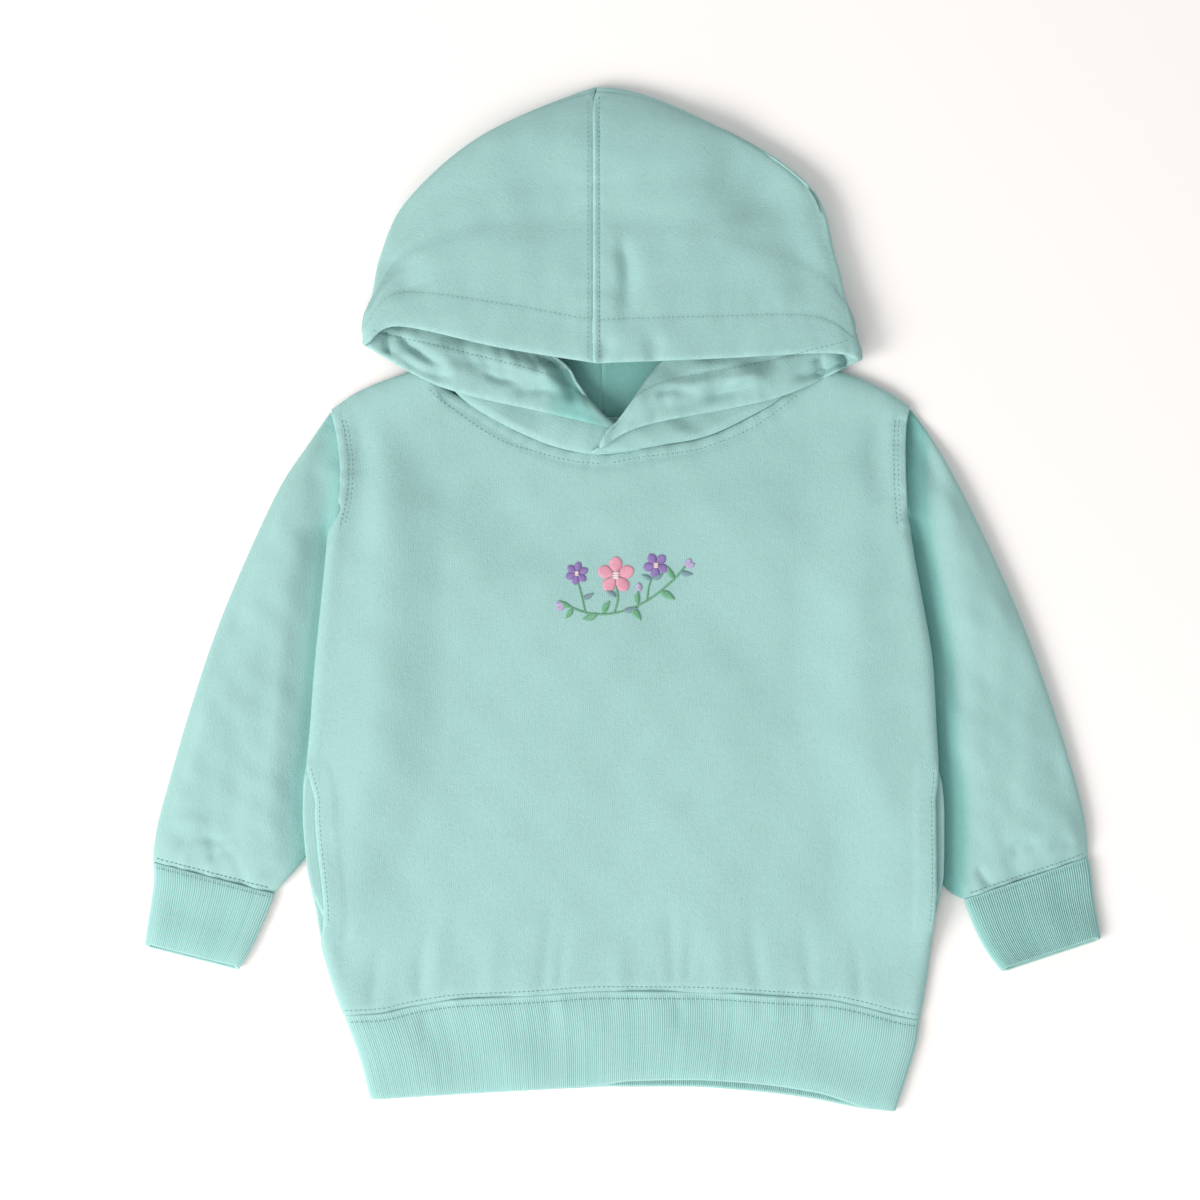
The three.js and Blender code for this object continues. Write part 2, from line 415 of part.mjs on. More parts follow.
// ---------------------------------------------------------------- flattened tubes
// Points of a flat loop from the outer edge over the top to the inner edge and back.
// p runs 0..1 between the two fold lines, out is how far a point lies past the nearer
// of them, and z is the height of the wall's middle.
function flatLoop(height, thickness, count) {
  const r = (height - thickness) / 2, mid = height / 2, bends = [50, 0, -50];
  const fold = (p, a) => ({ p, out: r * Math.cos((a * Math.PI) / 180), z: mid + r * Math.sin((a * Math.PI) / 180) });
  const list = [];
  for (let i = 0; i <= count; i += 1) list.push({ p: i / count, out: 0, z: mid + r });
  for (const a of bends) list.push(fold(1, a));
  for (let i = count; i >= 0; i -= 1) list.push({ p: i / count, out: 0, z: mid - r });
  for (const a of bends.slice().reverse()) list.push(fold(0, a));
  return list;
}
// The fold at each edge of a tube is square to that edge.
function tube(name, rows, steps, height, thickness, count, side, bowed) {
  const into = side === 'left' ? 1 : -1, low = height / 2;
  const place = (kx, ky, p) => new THREE.Vector2(through(rows.map((r) => r[kx]), p), through(rows.map((r) => r[ky]), p));
  const outward = (kx, ky, p, sign) => {
    const t = place(kx, ky, Math.min(p + 0.1, rows.length - 1)).sub(place(kx, ky, Math.max(p - 0.1, 0))).normalize();
    return new THREE.Vector2(t.y, -t.x).multiplyScalar(sign);
  };
  const grid = steps.map((p) => {
    const outer = place('ox', 'oy', p), inner = place('ix', 'iy', p);
    const across = outer.clone().sub(inner), width = across.length(), mi = outward('ix', 'iy', p, -into);
    const mo = across.clone().divideScalar(width).lerp(outward('ox', 'oy', p, into), bowed ? smooth(p) : 1).normalize();
    const from = outer.clone().addScaledVector(mo, -low), to = inner.clone().addScaledVector(mi, -low);
    return flatLoop(height, thickness, count).map((s) => {
      const q = from.clone().lerp(to, s.p).addScaledVector(s.p > 0.5 ? mi : mo, s.out);
      const share = mix(low / width, 1 - low / width, s.p);
      const bow = bowed * into * 3.2 * Math.exp(-(((share - 0.2) / 0.13) ** 2)) * clamp01(1 - p / 2);
      return new THREE.Vector3(q.x + bow, q.y, s.z);
    });
  });
  return wall(name, grid, thickness, true);
}
const SLEEVE_STEPS = [0, 1, 2, 3, 4, 5, 6, 7, 7.5, 8];
const CUFF_STEPS = [0, 1, 2, 3, 4];

function waistband() {
  const count = 18, levels = [0, 0.2, 0.55, 1];
  const grid = levels.map((t) => {
    const left = lookup(BAND_SIDE, 't', 'left', t), right = lookup(BAND_SIDE, 't', 'right', t);
    return flatLoop(BAND_H, RIB, count).map((s) => {
      const p = mix(BAND_H / 2, right - left - BAND_H / 2, s.p) / (right - left) + (s.p > 0.5 ? s.out : -s.out) / (right - left);
      const x = mix(left, right, p), xTop = mix(-153.2, 163.6, p), xLow = mix(-138.9, 150.4, p);
      const backness = smooth((BAND_H * 0.62 - s.z) / (BAND_H * 0.3));
      const low = lookup(BAND_EDGE, 'x', 'y', xLow) - backness * lookup(BAND_EDGE, 'x', 'back', xLow);
      return new THREE.Vector3(x, mix(hem(xTop) - GAP, low, t), s.z);
    });
  });
  return wall('waistband', grid, RIB, true);
}

// ---------------------------------------------------------------- hood
// One line of a hood half as control points in order along the cloth.
function hoodLine(side, p) {
  const plan = HOOD[side], tall = HOOD_Z[side];
  const xy = (k) => new THREE.Vector2(through(plan.map((r) => r[`${k}x`]), p), through(plan.map((r) => r[`${k}y`]), p));
  const z = (k) => through(tall.map((r) => r[k]), p);
  const n = xy('n'), r = xy('r'), f = xy('f'), g = xy('g'), s = xy('s'), c = xy('c'), d = xy('d'), k = xy('k');
  const toward = (from, to, dist) => from.clone().add(to.clone().sub(from).normalize().multiplyScalar(dist));
  const rollSize = Math.max(1.6, (z('b') - z('a')) / 2), foldSize = Math.max(1.6, (z('t') - z('s')) / 2);
  // square to the fold line in plan, away from the cloth
  const out = (key, sign) => {
    const at = (v) => new THREE.Vector2(through(plan.map((row) => row[`${key}x`]), v), through(plan.map((row) => row[`${key}y`]), v));
    const t = at(Math.min(p + 0.1, 10)).sub(at(Math.max(p - 0.1, 0))).normalize();
    return new THREE.Vector2(t.y, -t.x).multiplyScalar(sign);
  };
  const half = side === 'left' ? 1 : -1;
  const mr = out('r', half), ms = out('s', -half).lerp(new THREE.Vector2(0, 1), smooth(p - 9)).normalize();
  const squareRoll = smooth((z('b') - z('a') - 1.6) / 0.8) * smooth((5.6 - p) / 0.8) * smooth(p / 0.8);
  const atRoll = (to, share) => toward(r, to, rollSize * share).lerp(r.clone().addScaledVector(mr, -rollSize * share), squareRoll);
  const atFold = (share) => s.clone().addScaledVector(ms, -foldSize * share);
  const list = [
    [n, z('n')],
    [n.clone().lerp(atRoll(n, 1), 0.55), mix(z('n'), z('a'), 0.6)],
    [atRoll(n, 1), z('a')],
    [atRoll(n, 0.3), mix(z('a'), z('b'), 0.15)],
    [r, mix(z('a'), z('b'), 0.5)],
    [atRoll(f, 0.3), mix(z('a'), z('b'), 0.85)],
    [atRoll(f, 1), z('b')],
    [f, z('f')],
    [g, z('g')],
    [atFold(1), z('s')],
    [atFold(0.3), mix(z('s'), z('t'), 0.15)],
    [s, mix(z('s'), z('t'), 0.5)],
    [atFold(0.3), mix(z('s'), z('t'), 0.85)],
    [atFold(1), z('t')],
    [c, z('c')],
    [d, z('d')],
    [k, z('k')],
  ];
  return list.map(([q, h]) => new THREE.Vector3(q.x, q.y, h));
}
const HOOD_ROWS = [0, 0.5, 1, 1.5, 2, 3, 4, 4.6, 5.2, 5.7, 6, 6.3, 6.65, 7, 7.6, 8.3, 9, 9.4, 9.75, 10];
const HOOD_COLUMNS = [0, 1, 2, 3, 4, 5, 6, 7, 8, 9, 10, 11, 12, 13, 13.6, 14.2, 14.8, 15.4, 16];
function hoodHalf(side) {
  const grid = HOOD_ROWS.map((p) => {
    const line = hoodLine(side, p);
    return HOOD_COLUMNS.map((q) => new THREE.Vector3(
      through(line.map((v) => v.x), q), through(line.map((v) => v.y), q),
      Math.max(CLOTH / 2, through(line.map((v) => v.z), q))));
  });
  return wall(`hood_${side}`, grid, CLOTH);
}

// ---------------------------------------------------------------- pockets
// The bag is one folded wall: its lower layer runs out to the silhouette as the strip
// that shows at the opening, its upper layer stops inside the front's edge.
function pocket(side) {
  const into = side === 'left' ? 1 : -1;
  const levels = [-182, -174, -164, -150, -137, -126, -112, -102, -98];
  const grid = levels.map((y) => {
    const edge = silhouette(side, y), depth = lookup(POCKET, 'y', 'depth', y), strip = lookup(POCKET, 'y', 'strip', y);
    const set = lookup(SET_BACK, 'y', side, y);
    const low = CLOTH + 2 * GAP + POCKET_WALL / 2;
    const profile = [
      { d: mix(9, 0.9, strip), z: low + 0.1 },
      { d: mix(9.4, 0.5, strip), z: low + 0.9 },
      { d: mix(10, 1.1, strip), z: low + 1.5 },
      { d: mix(11, 3.0, strip), z: low + 1.6 },
      { d: 13 + set * 0.4, z: low + 0.6 },
      { d: 22, z: low },
      { d: depth * 0.6, z: low },
      { d: depth - 1.2, z: low },
      { d: depth - 0.3, z: low + 0.6 },
      { d: depth - 1.2, z: low + 1.2 },
      { d: depth * 0.6, z: low + 1.2 },
      { d: 24, z: low + 1.3 },
      { d: 14 + set * 0.6, z: low + 1.6 },
    ];
    const x0 = (d) => edge + into * d;
    return profile.map((q) => new THREE.Vector3(x0(q.d), y, q.z + lift(x0(q.d), y)));
  });
  return wall(`pocket_${side}`, grid, POCKET_WALL);
}

// ---------------------------------------------------------------- the garment
const hoodie = new THREE.Group();
hoodie.add(backPanel(), frontPanel(), waistband());
for (const side of ['left', 'right']) {
  hoodie.add(
    tube(`sleeve_${side}`, SLEEVES[side], SLEEVE_STEPS, SLEEVE_H, CLOTH, 6, side, 1),
    tube(`cuff_${side}`, CUFFS[side], CUFF_STEPS, CUFF_H, RIB, 6, side, 0),
    hoodHalf(side),
    pocket(side),
  );
}
// The whole is moved so that the middle of its floor outline is the origin.
const outline = new THREE.Box3().setFromObject(hoodie);
hoodie.position.set(-(outline.min.x + outline.max.x) / 2, -(outline.min.y + outline.max.y) / 2, -outline.min.z);
hoodie.updateMatrixWorld(true);
export default hoodie;
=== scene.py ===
import math

import bpy
import numpy as np
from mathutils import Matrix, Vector
from mathutils.bvhtree import BVHTree


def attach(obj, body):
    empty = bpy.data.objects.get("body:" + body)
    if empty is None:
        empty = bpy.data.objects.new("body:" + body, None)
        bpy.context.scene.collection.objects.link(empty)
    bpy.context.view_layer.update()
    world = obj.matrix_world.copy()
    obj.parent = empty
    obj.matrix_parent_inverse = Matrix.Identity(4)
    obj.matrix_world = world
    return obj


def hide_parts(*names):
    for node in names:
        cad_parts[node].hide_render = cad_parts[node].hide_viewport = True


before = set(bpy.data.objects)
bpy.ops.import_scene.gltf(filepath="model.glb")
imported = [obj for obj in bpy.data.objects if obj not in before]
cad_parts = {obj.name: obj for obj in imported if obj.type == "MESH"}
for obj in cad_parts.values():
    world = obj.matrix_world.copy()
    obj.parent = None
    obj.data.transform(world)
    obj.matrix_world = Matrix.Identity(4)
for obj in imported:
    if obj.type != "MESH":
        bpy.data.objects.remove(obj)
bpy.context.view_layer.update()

# ------------------------------------------------------------------ named sizes, mm
MM = 0.001
SHIFT = (-0.157, -0.335)          # the CAD group's own shift to the middle of its floor outline
CLOTH, RIB, GAP, ARM_GAP, PLY_GAP = 1.6, 2.0, 0.3, 0.55, 3.6
SKIN = 1.4                        # thickness of the jersey shells
SLEEVE_H, CUFF_H, BAND_H = 5.8, 7.2, 7.4
LIFT, LIFT_FLAT, LIFT_RAMP, EDGE_ROLL = 6.3, 12.0, 42.0, 6.0
RIB_PITCH = 1.18
POCKET_WALL = 0.8


def at(x, y):
    """A place in the 1200 square frame as millimetres in plan."""
    return ((x - 622.5) * 0.55, (599.5 - y) * 0.55)


# ------------------------------------------------------------------ tables of the cut, mm
BODY = np.array([  # y, left, right
    (-229.1, -153.2, 163.6), (-208.2, -160.5, 167.2), (-184.5, -166.7, 170.2), (-171.9, -168.6, 173.0),
    (-154.3, -172.2, 176.3), (-135.0, -174.6, 176.8), (-117.4, -175.7, 176.8), (-102.0, -175.7, 176.0),
    (-92.7, -174.4, 173.8), (-82.8, -172.4, 172.7), (-36.0, -168.6, 170.0), (-0.3, -165.0, 164.2),
    (22.3, -162.8, 160.0), (36.0, -161.4, 157.9)])
SET_BACK = np.array([(-190, 0, 0), (-178, 4.0, 1.2), (-150, 7.6, 5.0), (-112, 7.6, 5.6), (-100, 4.9, 3.5), (-92, 1.5, 1.1), (-84, 0, 0.2)], float)
HEM = np.array([(-153.2, -228.8), (-135.6, -228.0), (-114.1, -223.6), (-93.2, -220.3), (-50.9, -218.1), (-9.1, -215.6),
                (38.2, -215.9), (88.8, -218.6), (114.1, -220.3), (132.8, -224.1), (151.5, -229.1), (163.6, -231.3)])
BAND_EDGE = np.array([  # x, y, how far the back layer hangs below
    (-138.9, -274.6, 0.5), (-98.7, -272.0, 0.5), (-50.9, -269.2, 0.6), (-13.5, -267.0, 1.0), (5.2, -264.3, 3.6),
    (38.2, -263.7, 4.2), (68.5, -265.4, 4.6), (107.5, -270.6, 4.2), (136.7, -279.4, 0.8), (150.4, -281.2, 0.0)])
BAND_SIDE = np.array([(0.0, -153.2, 163.6), (0.2, -149.6, 162.4), (0.55, -144.0, 157.5), (1.0, -138.9, 150.4)])
FRONT_NECK = np.array([(-104.8, 128.4), (-98.7, 117.4), (-84.4, 108.1), (-56.9, 92.1), (-29.4, 82.0), (-8.5, 79.9),
                       (10.2, 83.5), (42.1, 88.3), (66.8, 98.7), (92.1, 114.1), (98.6, 120.0), (103.1, 128.4)])
BACK_NECK = np.array([(-104.8, 128.8), (-83.9, 114.1), (-61.9, 105.9), (-24.5, 100.9), (-10.2, 100.4), (9.6, 100.9),
                      (31.6, 103.7), (59.1, 108.6), (83.9, 116.3), (103.1, 128.8)])
SHOULDER = np.array([(-159.4, 104.6), (-145.5, 113.9), (-119.1, 124.2), (-104.8, 128.6), (103.1, 128.6),
                     (126.0, 123.0), (144.0, 114.9), (157.0, 106.6)])
# outer edge x, y and inner edge x, y of each section
SLEEVES = {
    "left": np.array([(-160.3, 103.7, -149.3, -22.0), (-173.0, 84.8, -149.0, -35.0), (-188.4, 61.3, -148.9, -46.8),
                      (-207.6, 20.6, -149.9, -66.3), (-224.1, -19.5, -152.6, -84.8), (-237.9, -60.8, -158.1, -105.0),
                      (-248.9, -98.2, -165.3, -124.3), (-256.0, -124.6, -174.1, -141.4), (-258.8, -143.8, -191.7, -161.3)]),
    "right": np.array([(158.1, 105.3, 146.5, -22.0), (170.4, 87.9, 146.2, -35.0), (185.6, 61.2, 146.1, -46.8),
                       (203.8, 23.9, 147.4, -66.3), (219.7, -12.4, 151.5, -84.8), (234.6, -53.1, 158.1, -105.0),
                       (246.1, -89.4, 165.8, -128.8), (253.8, -118.5, 176.3, -156.5), (256.3, -141.2, 187.3, -164.7)])}
CUFFS = {
    "left": np.array([(-258.7, -144.8, -191.3, -162.4), (-257.9, -153.7, -193.6, -169.3), (-259.6, -168.0, -198.8, -181.4),
                      (-261.5, -179.6, -204.4, -193.2), (-262.9, -190.0, -210.4, -203.2)]),
    "right": np.array([(256.5, -142.2, 188.0, -165.6), (257.9, -151.5, 191.0, -173.6), (259.3, -163.7, 195.5, -184.4),
                       (261.2, -175.2, 201.8, -195.4), (263.2, -186.2, 208.7, -204.3)])}
# hood lines in plan: neck seam n, roll r, turned-out front f and g, silhouette s, crown c and d, centre seam k
HOOD = {
    "left": np.array([
        (9.6, 83.0, -0.3, 93.2, -37.7, 102.0, -98.7, 116.9, -141.1, 140.0, -122.4, 149.9, -67.4, 138.3, -15.8, 129.8),
        (-9.1, 80.6, -10.2, 99.8, -39.9, 111.9, -97.1, 126.8, -141.1, 143.8, -122.4, 158.7, -67.4, 149.3, -16.0, 140.0),
        (-23.4, 81.4, -16.8, 107.0, -41.0, 122.9, -96.0, 137.8, -141.6, 148.2, -122.4, 167.5, -67.4, 162.0, -16.2, 152.6),
        (-42.6, 86.4, -25.0, 118.5, -48.1, 133.9, -96.0, 146.0, -141.1, 152.6, -121.3, 173.5, -67.4, 173.5, -16.2, 166.9),
        (-68.5, 98.4, -33.8, 130.6, -59.1, 142.5, -97.1, 152.5, -140.3, 157.0, -120.2, 179.5, -67.4, 186.0, -16.2, 182.3),
        (-89.5, 112.4, -67.4, 150.5, -90.0, 152.5, -112.0, 157.0, -138.9, 161.4, -118.6, 186.0, -67.4, 199.0, -16.2, 197.7),
        (-102.6, 131.5, -119.6, 163.5, -125.1, 165.3, -130.6, 166.2, -136.7, 166.9, -116.5, 193.5, -67.4, 213.5, -16.2, 214.2),
        (-80.0, 115.6, -88.0, 150.0, -103.5, 168.0, -122.4, 180.1, -132.3, 188.9, -107.0, 211.5, -61.9, 232.5, -16.2, 233.5),
        (-56.4, 106.1, -66.5, 152.5, -88.0, 184.0, -108.6, 203.2, -118.0, 218.6, -92.1, 239.0, -56.4, 252.7, -16.2, 250.0),
        (-33.3, 103.0, -42.6, 164.7, -53.6, 206.0, -64.6, 236.2, -77.3, 254.4, -59.1, 262.6, -37.1, 266.5, -16.2, 264.8),
        (-10.9, 101.0, -12.6, 153.7, -13.7, 197.7, -14.2, 247.2, -14.9, 281.3, -15.6, 278.0, -16.1, 275.8, -16.3, 273.6),
        (-10.9, 101.0, -12.6, 153.7, -13.7, 197.7, -14.2, 247.2, 10.0, 281.3, -15.6, 278.0, -16.1, 275.8, -16.3, 273.6)]),
    "right": np.array([
        (-16.8, 81.4, -11.8, 83.6, 12.9, 96.0, 83.3, 110.8, 129.6, 131.5, 112.8, 135.3, 53.1, 132.3, -15.4, 129.5),
        (1.4, 82.2, -9.1, 90.5, 15.1, 107.0, 81.1, 120.7, 129.0, 137.2, 108.6, 143.8, 50.9, 141.6, -15.6, 139.4),
        (20.6, 85.2, -0.3, 99.3, 17.9, 117.4, 79.5, 130.6, 127.3, 142.7, 104.2, 154.8, 49.2, 154.8, -15.8, 152.6),
        (45.4, 89.9, 9.6, 113.6, 25.0, 129.5, 78.4, 140.6, 126.2, 148.8, 103.1, 165.0, 48.1, 168.0, -15.8, 166.9),
        (69.0, 100.6, 21.7, 127.9, 37.1, 140.0, 76.7, 149.6, 125.1, 154.3, 102.2, 171.5, 47.0, 181.5, -15.8, 182.3),
        (88.6, 112.9, 53.6, 149.0, 73.5, 150.8, 94.0, 155.5, 123.8, 159.8, 101.0, 179.5, 45.9, 195.0, -15.8, 197.7),
        (101.0, 131.5, 107.5, 163.1, 111.9, 164.7, 116.3, 165.3, 121.8, 165.3, 99.5, 188.0, 44.3, 209.0, -15.8, 214.2),
        (76.7, 116.0, 79.0, 147.5, 92.0, 167.0, 107.0, 178.5, 116.3, 188.9, 92.5, 210.0, 41.0, 229.5, -15.8, 233.5),
        (45.4, 106.8, 58.5, 152.0, 77.0, 184.0, 94.9, 206.0, 103.1, 225.8, 77.3, 241.7, 34.4, 251.6, -15.8, 250.0),
        (15.1, 102.2, 26.1, 164.7, 37.1, 206.0, 45.4, 241.7, 53.6, 258.8, 37.1, 263.7, 12.4, 266.5, -15.8, 264.8),
        (-10.3, 101.0, -12.0, 153.7, -13.1, 197.7, -13.6, 247.2, -13.5, 281.3, -14.3, 278.0, -15.0, 275.8, -15.6, 273.6),
        (-10.3, 101.0, -12.0, 153.7, -13.1, 197.7, -13.6, 247.2, -77.3, 254.4, -59.1, 262.6, -37.1, 266.5, -15.6, 273.6)])}
# heights of the same points: n, a under the roll, b over it, f, g, s under the fold, t over it, c, d, k
HOOD_Z = {
    "left": np.array([
        (7.1, 7.6, 9.0, 9.9, 9.4, 8.2, 11.6, 12.8, 14.6, 15.4), (7.1, 7.1, 10.0, 10.2, 9.6, 8.0, 11.6, 13.2, 15.0, 15.4),
        (7.1, 7.0, 10.3, 10.4, 9.7, 7.8, 11.5, 13.2, 15.0, 15.3), (7.0, 6.9, 10.3, 10.4, 9.7, 7.6, 11.4, 13.2, 14.8, 15.2),
        (6.8, 6.7, 10.2, 10.1, 9.4, 7.3, 11.3, 13.2, 14.6, 15.0), (6.4, 6.0, 9.4, 9.2, 8.6, 6.6, 11.1, 13.2, 14.4, 14.8),
        (3.3, 3.4, 5.6, 5.6, 5.4, 4.8, 10.8, 13.0, 14.2, 14.6), (0.8, 0.8, 0.8, 0.8, 0.8, 0.8, 10.4, 12.8, 14.0, 14.4),
        (0.8, 0.8, 0.8, 0.8, 0.8, 0.8, 9.8, 12.0, 13.0, 13.4), (0.8, 0.8, 0.8, 0.8, 0.8, 0.8, 8.8, 10.6, 11.4, 11.8),
        (0.8, 0.8, 0.8, 0.8, 0.8, 0.8, 7.6, 8.4, 9.0, 9.4)]),
    "right": np.array([
        (9.2, 9.9, 12.0, 13.4, 10.4, 8.4, 11.8, 13.0, 14.8, 15.4), (9.2, 11.8, 14.8, 13.8, 10.6, 8.4, 11.8, 13.2, 15.0, 15.4),
        (8.6, 11.8, 15.0, 13.6, 10.6, 8.2, 11.6, 13.2, 15.0, 15.3), (7.6, 9.4, 12.6, 12.0, 10.0, 7.8, 11.5, 13.2, 14.9, 15.2),
        (7.0, 7.6, 11.0, 10.8, 9.6, 7.5, 11.3, 13.2, 14.6, 15.0), (6.4, 6.0, 9.4, 9.2, 8.6, 6.6, 11.1, 13.2, 14.4, 14.8),
        (3.3, 3.4, 5.6, 5.6, 5.4, 4.8, 10.8, 13.0, 14.2, 14.6), (0.8, 0.8, 0.8, 0.8, 0.8, 0.8, 10.4, 12.8, 14.0, 14.4),
        (0.8, 0.8, 0.8, 0.8, 0.8, 0.8, 9.8, 12.0, 13.0, 13.4), (0.8, 0.8, 0.8, 0.8, 0.8, 0.8, 8.8, 10.6, 11.4, 11.8),
        (0.8, 0.8, 0.8, 0.8, 0.8, 0.8, 7.6, 8.4, 9.0, 9.4)])}
POCKET = np.array([(-184, 36, 0), (-178, 47, 0.5), (-150, 53, 1), (-120, 53, 1), (-100, 48, 0.96), (-90, 42, 0.5)], float)


# ------------------------------------------------------------------ curves
def smooth(v):
    t = np.clip(v, 0, 1)
    return t * t * (3 - 2 * t)


def mix(a, b, t):
    return a + (b - a) * t


def table(xs, ys):
    """A monotone cubic through a column of a table."""
    order = np.argsort(xs)
    xs, ys = np.asarray(xs, float)[order], np.asarray(ys, float)[order]
    h = np.diff(xs)
    s = np.diff(ys) / h
    m = np.zeros(len(xs))
    m[0], m[-1] = s[0], s[-1]
    for i in range(1, len(xs) - 1):
        a, b = s[i - 1], s[i]
        m[i] = 0 if a * b <= 0 else 2 * a * b / (a + b)

    def value(v):
        v = np.clip(v, xs[0], xs[-1])
        i = np.clip(np.searchsorted(xs, v, "right") - 1, 0, len(xs) - 2)
        t = (v - xs[i]) / h[i]
        t2, t3 = t * t, t * t * t
        return ((2 * t3 - 3 * t2 + 1) * ys[i] + (t3 - 2 * t2 + t) * h[i] * m[i]
                + (3 * t2 - 2 * t3) * ys[i + 1] + (t3 - t2) * h[i] * m[i + 1])
    return value


def through(values, p):
    """Catmull-Rom through rows of values at whole-number places."""
    values = np.asarray(values, float)
    n = len(values)
    p = np.asarray(p, float)
    i = np.clip(np.floor(p).astype(int), 0, n - 2)
    t = p - i
    if values.ndim > 1:
        t = t.reshape(t.shape + (1,) * (values.ndim - 1))
    a, b, c, d = values[np.maximum(0, i - 1)], values[i], values[i + 1], values[np.minimum(n - 1, i + 2)]
    return 0.5 * (2 * b + (c - a) * t + (2 * a - 5 * b + 4 * c - d) * t * t + (3 * b - a - 3 * c + d) * t * t * t)


front_neck, back_neck = table(*FRONT_NECK.T), table(*BACK_NECK.T)
shoulder, hem = table(*SHOULDER.T), table(*HEM.T)
band_low, band_back = table(BAND_EDGE[:, 0], BAND_EDGE[:, 1]), table(BAND_EDGE[:, 0], BAND_EDGE[:, 2])
band_left, band_right = table(BAND_SIDE[:, 0], BAND_SIDE[:, 1]), table(BAND_SIDE[:, 0], BAND_SIDE[:, 2])
side_x = {"left": table(BODY[:, 0], BODY[:, 1]), "right": table(BODY[:, 0], BODY[:, 2])}
set_back = {"left": table(SET_BACK[:, 0], SET_BACK[:, 1]), "right": table(SET_BACK[:, 0], SET_BACK[:, 2])}
inner_x = {s: table(SLEEVES[s][:, 3], SLEEVES[s][:, 2]) for s in SLEEVES}
ARM_TOP, ARM_LOW = 103.7, 45.0


def into(side):
    return 1.0 if side == "left" else -1.0


ARM = {"left": table([22.0, 30.0, 42.0, 59.0, 72.0, 89.0, 103.7], [-163.0, -162.0, -159.2, -155.6, -155.2, -157.0, -160.3]),
       "right": table([22.0, 36.0, 50.0, 65.0, 79.0, 95.0, 105.3], [160.0, 157.9, 156.6, 155.8, 155.7, 156.3, 158.1])}


def straight_arm(side, y):
    ox, oy, ix, iy = SLEEVES[side][0]
    return mix(ox, ix, np.clip((oy - y) / (oy - iy), 0, 1))


def armhole(side, y):
    return ARM[side](y)


def silhouette(side, y):
    seam = armhole(side, y) + into(side) * ARM_GAP
    return np.where(y >= ARM_LOW, seam, mix(side_x[side](y), seam, smooth((y - 36) / (ARM_LOW - 36))))


def lift(x, y):
    """Height by which the body is raised over the sleeves."""
    out = 0
    for side in ("left", "right"):
        inner = np.abs(inner_x[side](np.maximum(y, -132)))
        level = smooth((100 - y) / 50) * smooth((y + 206) / 48)
        here = LIFT * level * smooth((-into(side) * x - inner + LIFT_FLAT + LIFT_RAMP) / LIFT_RAMP)
        out = out + np.where(into(side) * x < 0, here, 0)
    return out


def roll(d, width):
    return np.sqrt(1 - (1 - np.clip(d / width, 0, 1)) ** 2)


def curve(points, step=2.0):
    """Evenly spaced points along a smooth line through the given ones."""
    pts = np.asarray(points, float)
    if len(pts) == 2:
        fine = np.linspace(pts[0], pts[1], 60)
    else:
        fine = through(pts, np.linspace(0, len(pts) - 1, 40 * len(pts)))
    along = np.concatenate([[0], np.cumsum(np.linalg.norm(np.diff(fine, axis=0), axis=1))])
    n = max(2, int(round(along[-1] / step)) + 1)
    want = np.linspace(0, along[-1], n)
    return np.stack([np.interp(want, along, fine[:, k]) for k in range(fine.shape[1])], 1)


def near(path, X, Y, reach):
    """For each point: distance to the path, which side of it, and the share of its length."""
    d = np.full(X.shape, 1e3)
    side, share = np.ones(X.shape), np.zeros(X.shape)
    lo, hi = path.min(0) - reach, path.max(0) + reach
    pick = (X > lo[0]) & (X < hi[0]) & (Y > lo[1]) & (Y < hi[1])
    if not pick.any():
        return d, side, share
    x, y = X[pick], Y[pick]
    a, b = path[:-1], path[1:]
    ab = b - a
    ll = (ab ** 2).sum(1)
    px, py = x[None] - a[:, 0, None], y[None] - a[:, 1, None]
    t = np.clip((px * ab[:, 0, None] + py * ab[:, 1, None]) / ll[:, None], 0, 1)
    qx, qy = px - t * ab[:, 0, None], py - t * ab[:, 1, None]
    dist = np.hypot(qx, qy)
    k = dist.argmin(0)
    cols = np.arange(len(x))
    d[pick] = dist[k, cols]
    cross = ab[k, 0] * py[k, cols] - ab[k, 1] * px[k, cols]
    side[pick] = np.where(cross >= 0, 1.0, -1.0)
    share[pick] = (k + t[k, cols]) / len(ab)
    return d, side, share


def folds(items, X, Y):
    """Sum of listed creases. Each is (points in the frame, width mm, height mm, lean, taper at its start,
    taper at its end): a ridge where the height is above 0, a trough below it. lean lifts one flank."""
    Z = np.zeros(X.shape)
    for pts, width, height, lean, ta, tb in items:
        path = curve([at(*q) for q in pts], 3.0)
        d, side, share = near(path, X, Y, width * 3.2)
        start = smooth(share / ta) if ta else 1.0
        end = smooth((1 - share) / tb) if tb else 1.0
        w = width * (0.72 + 0.28 * np.sin(np.pi * share))
        r = d / w
        Z += height * start * end * np.exp(-r * r) * (1 + lean * side * r)
    return Z


def swell(X, Y, seed, low, high, size, count=10):
    """Slow uneven undulation: wavelengths from low to high mm."""
    rng = np.random.default_rng(seed)
    Z = np.zeros(X.shape)
    for _ in range(count):
        a, wave, ph = rng.uniform(0, 2 * np.pi), rng.uniform(low, high), rng.uniform(0, 2 * np.pi)
        bend = rng.uniform(-1, 1)
        Z += np.sin((X * np.cos(a) + Y * np.sin(a)) * 2 * np.pi / wave + ph
                    + bend * np.sin((X * np.sin(a) - Y * np.cos(a)) * np.pi / wave))
    return size * Z / math.sqrt(count / 2)


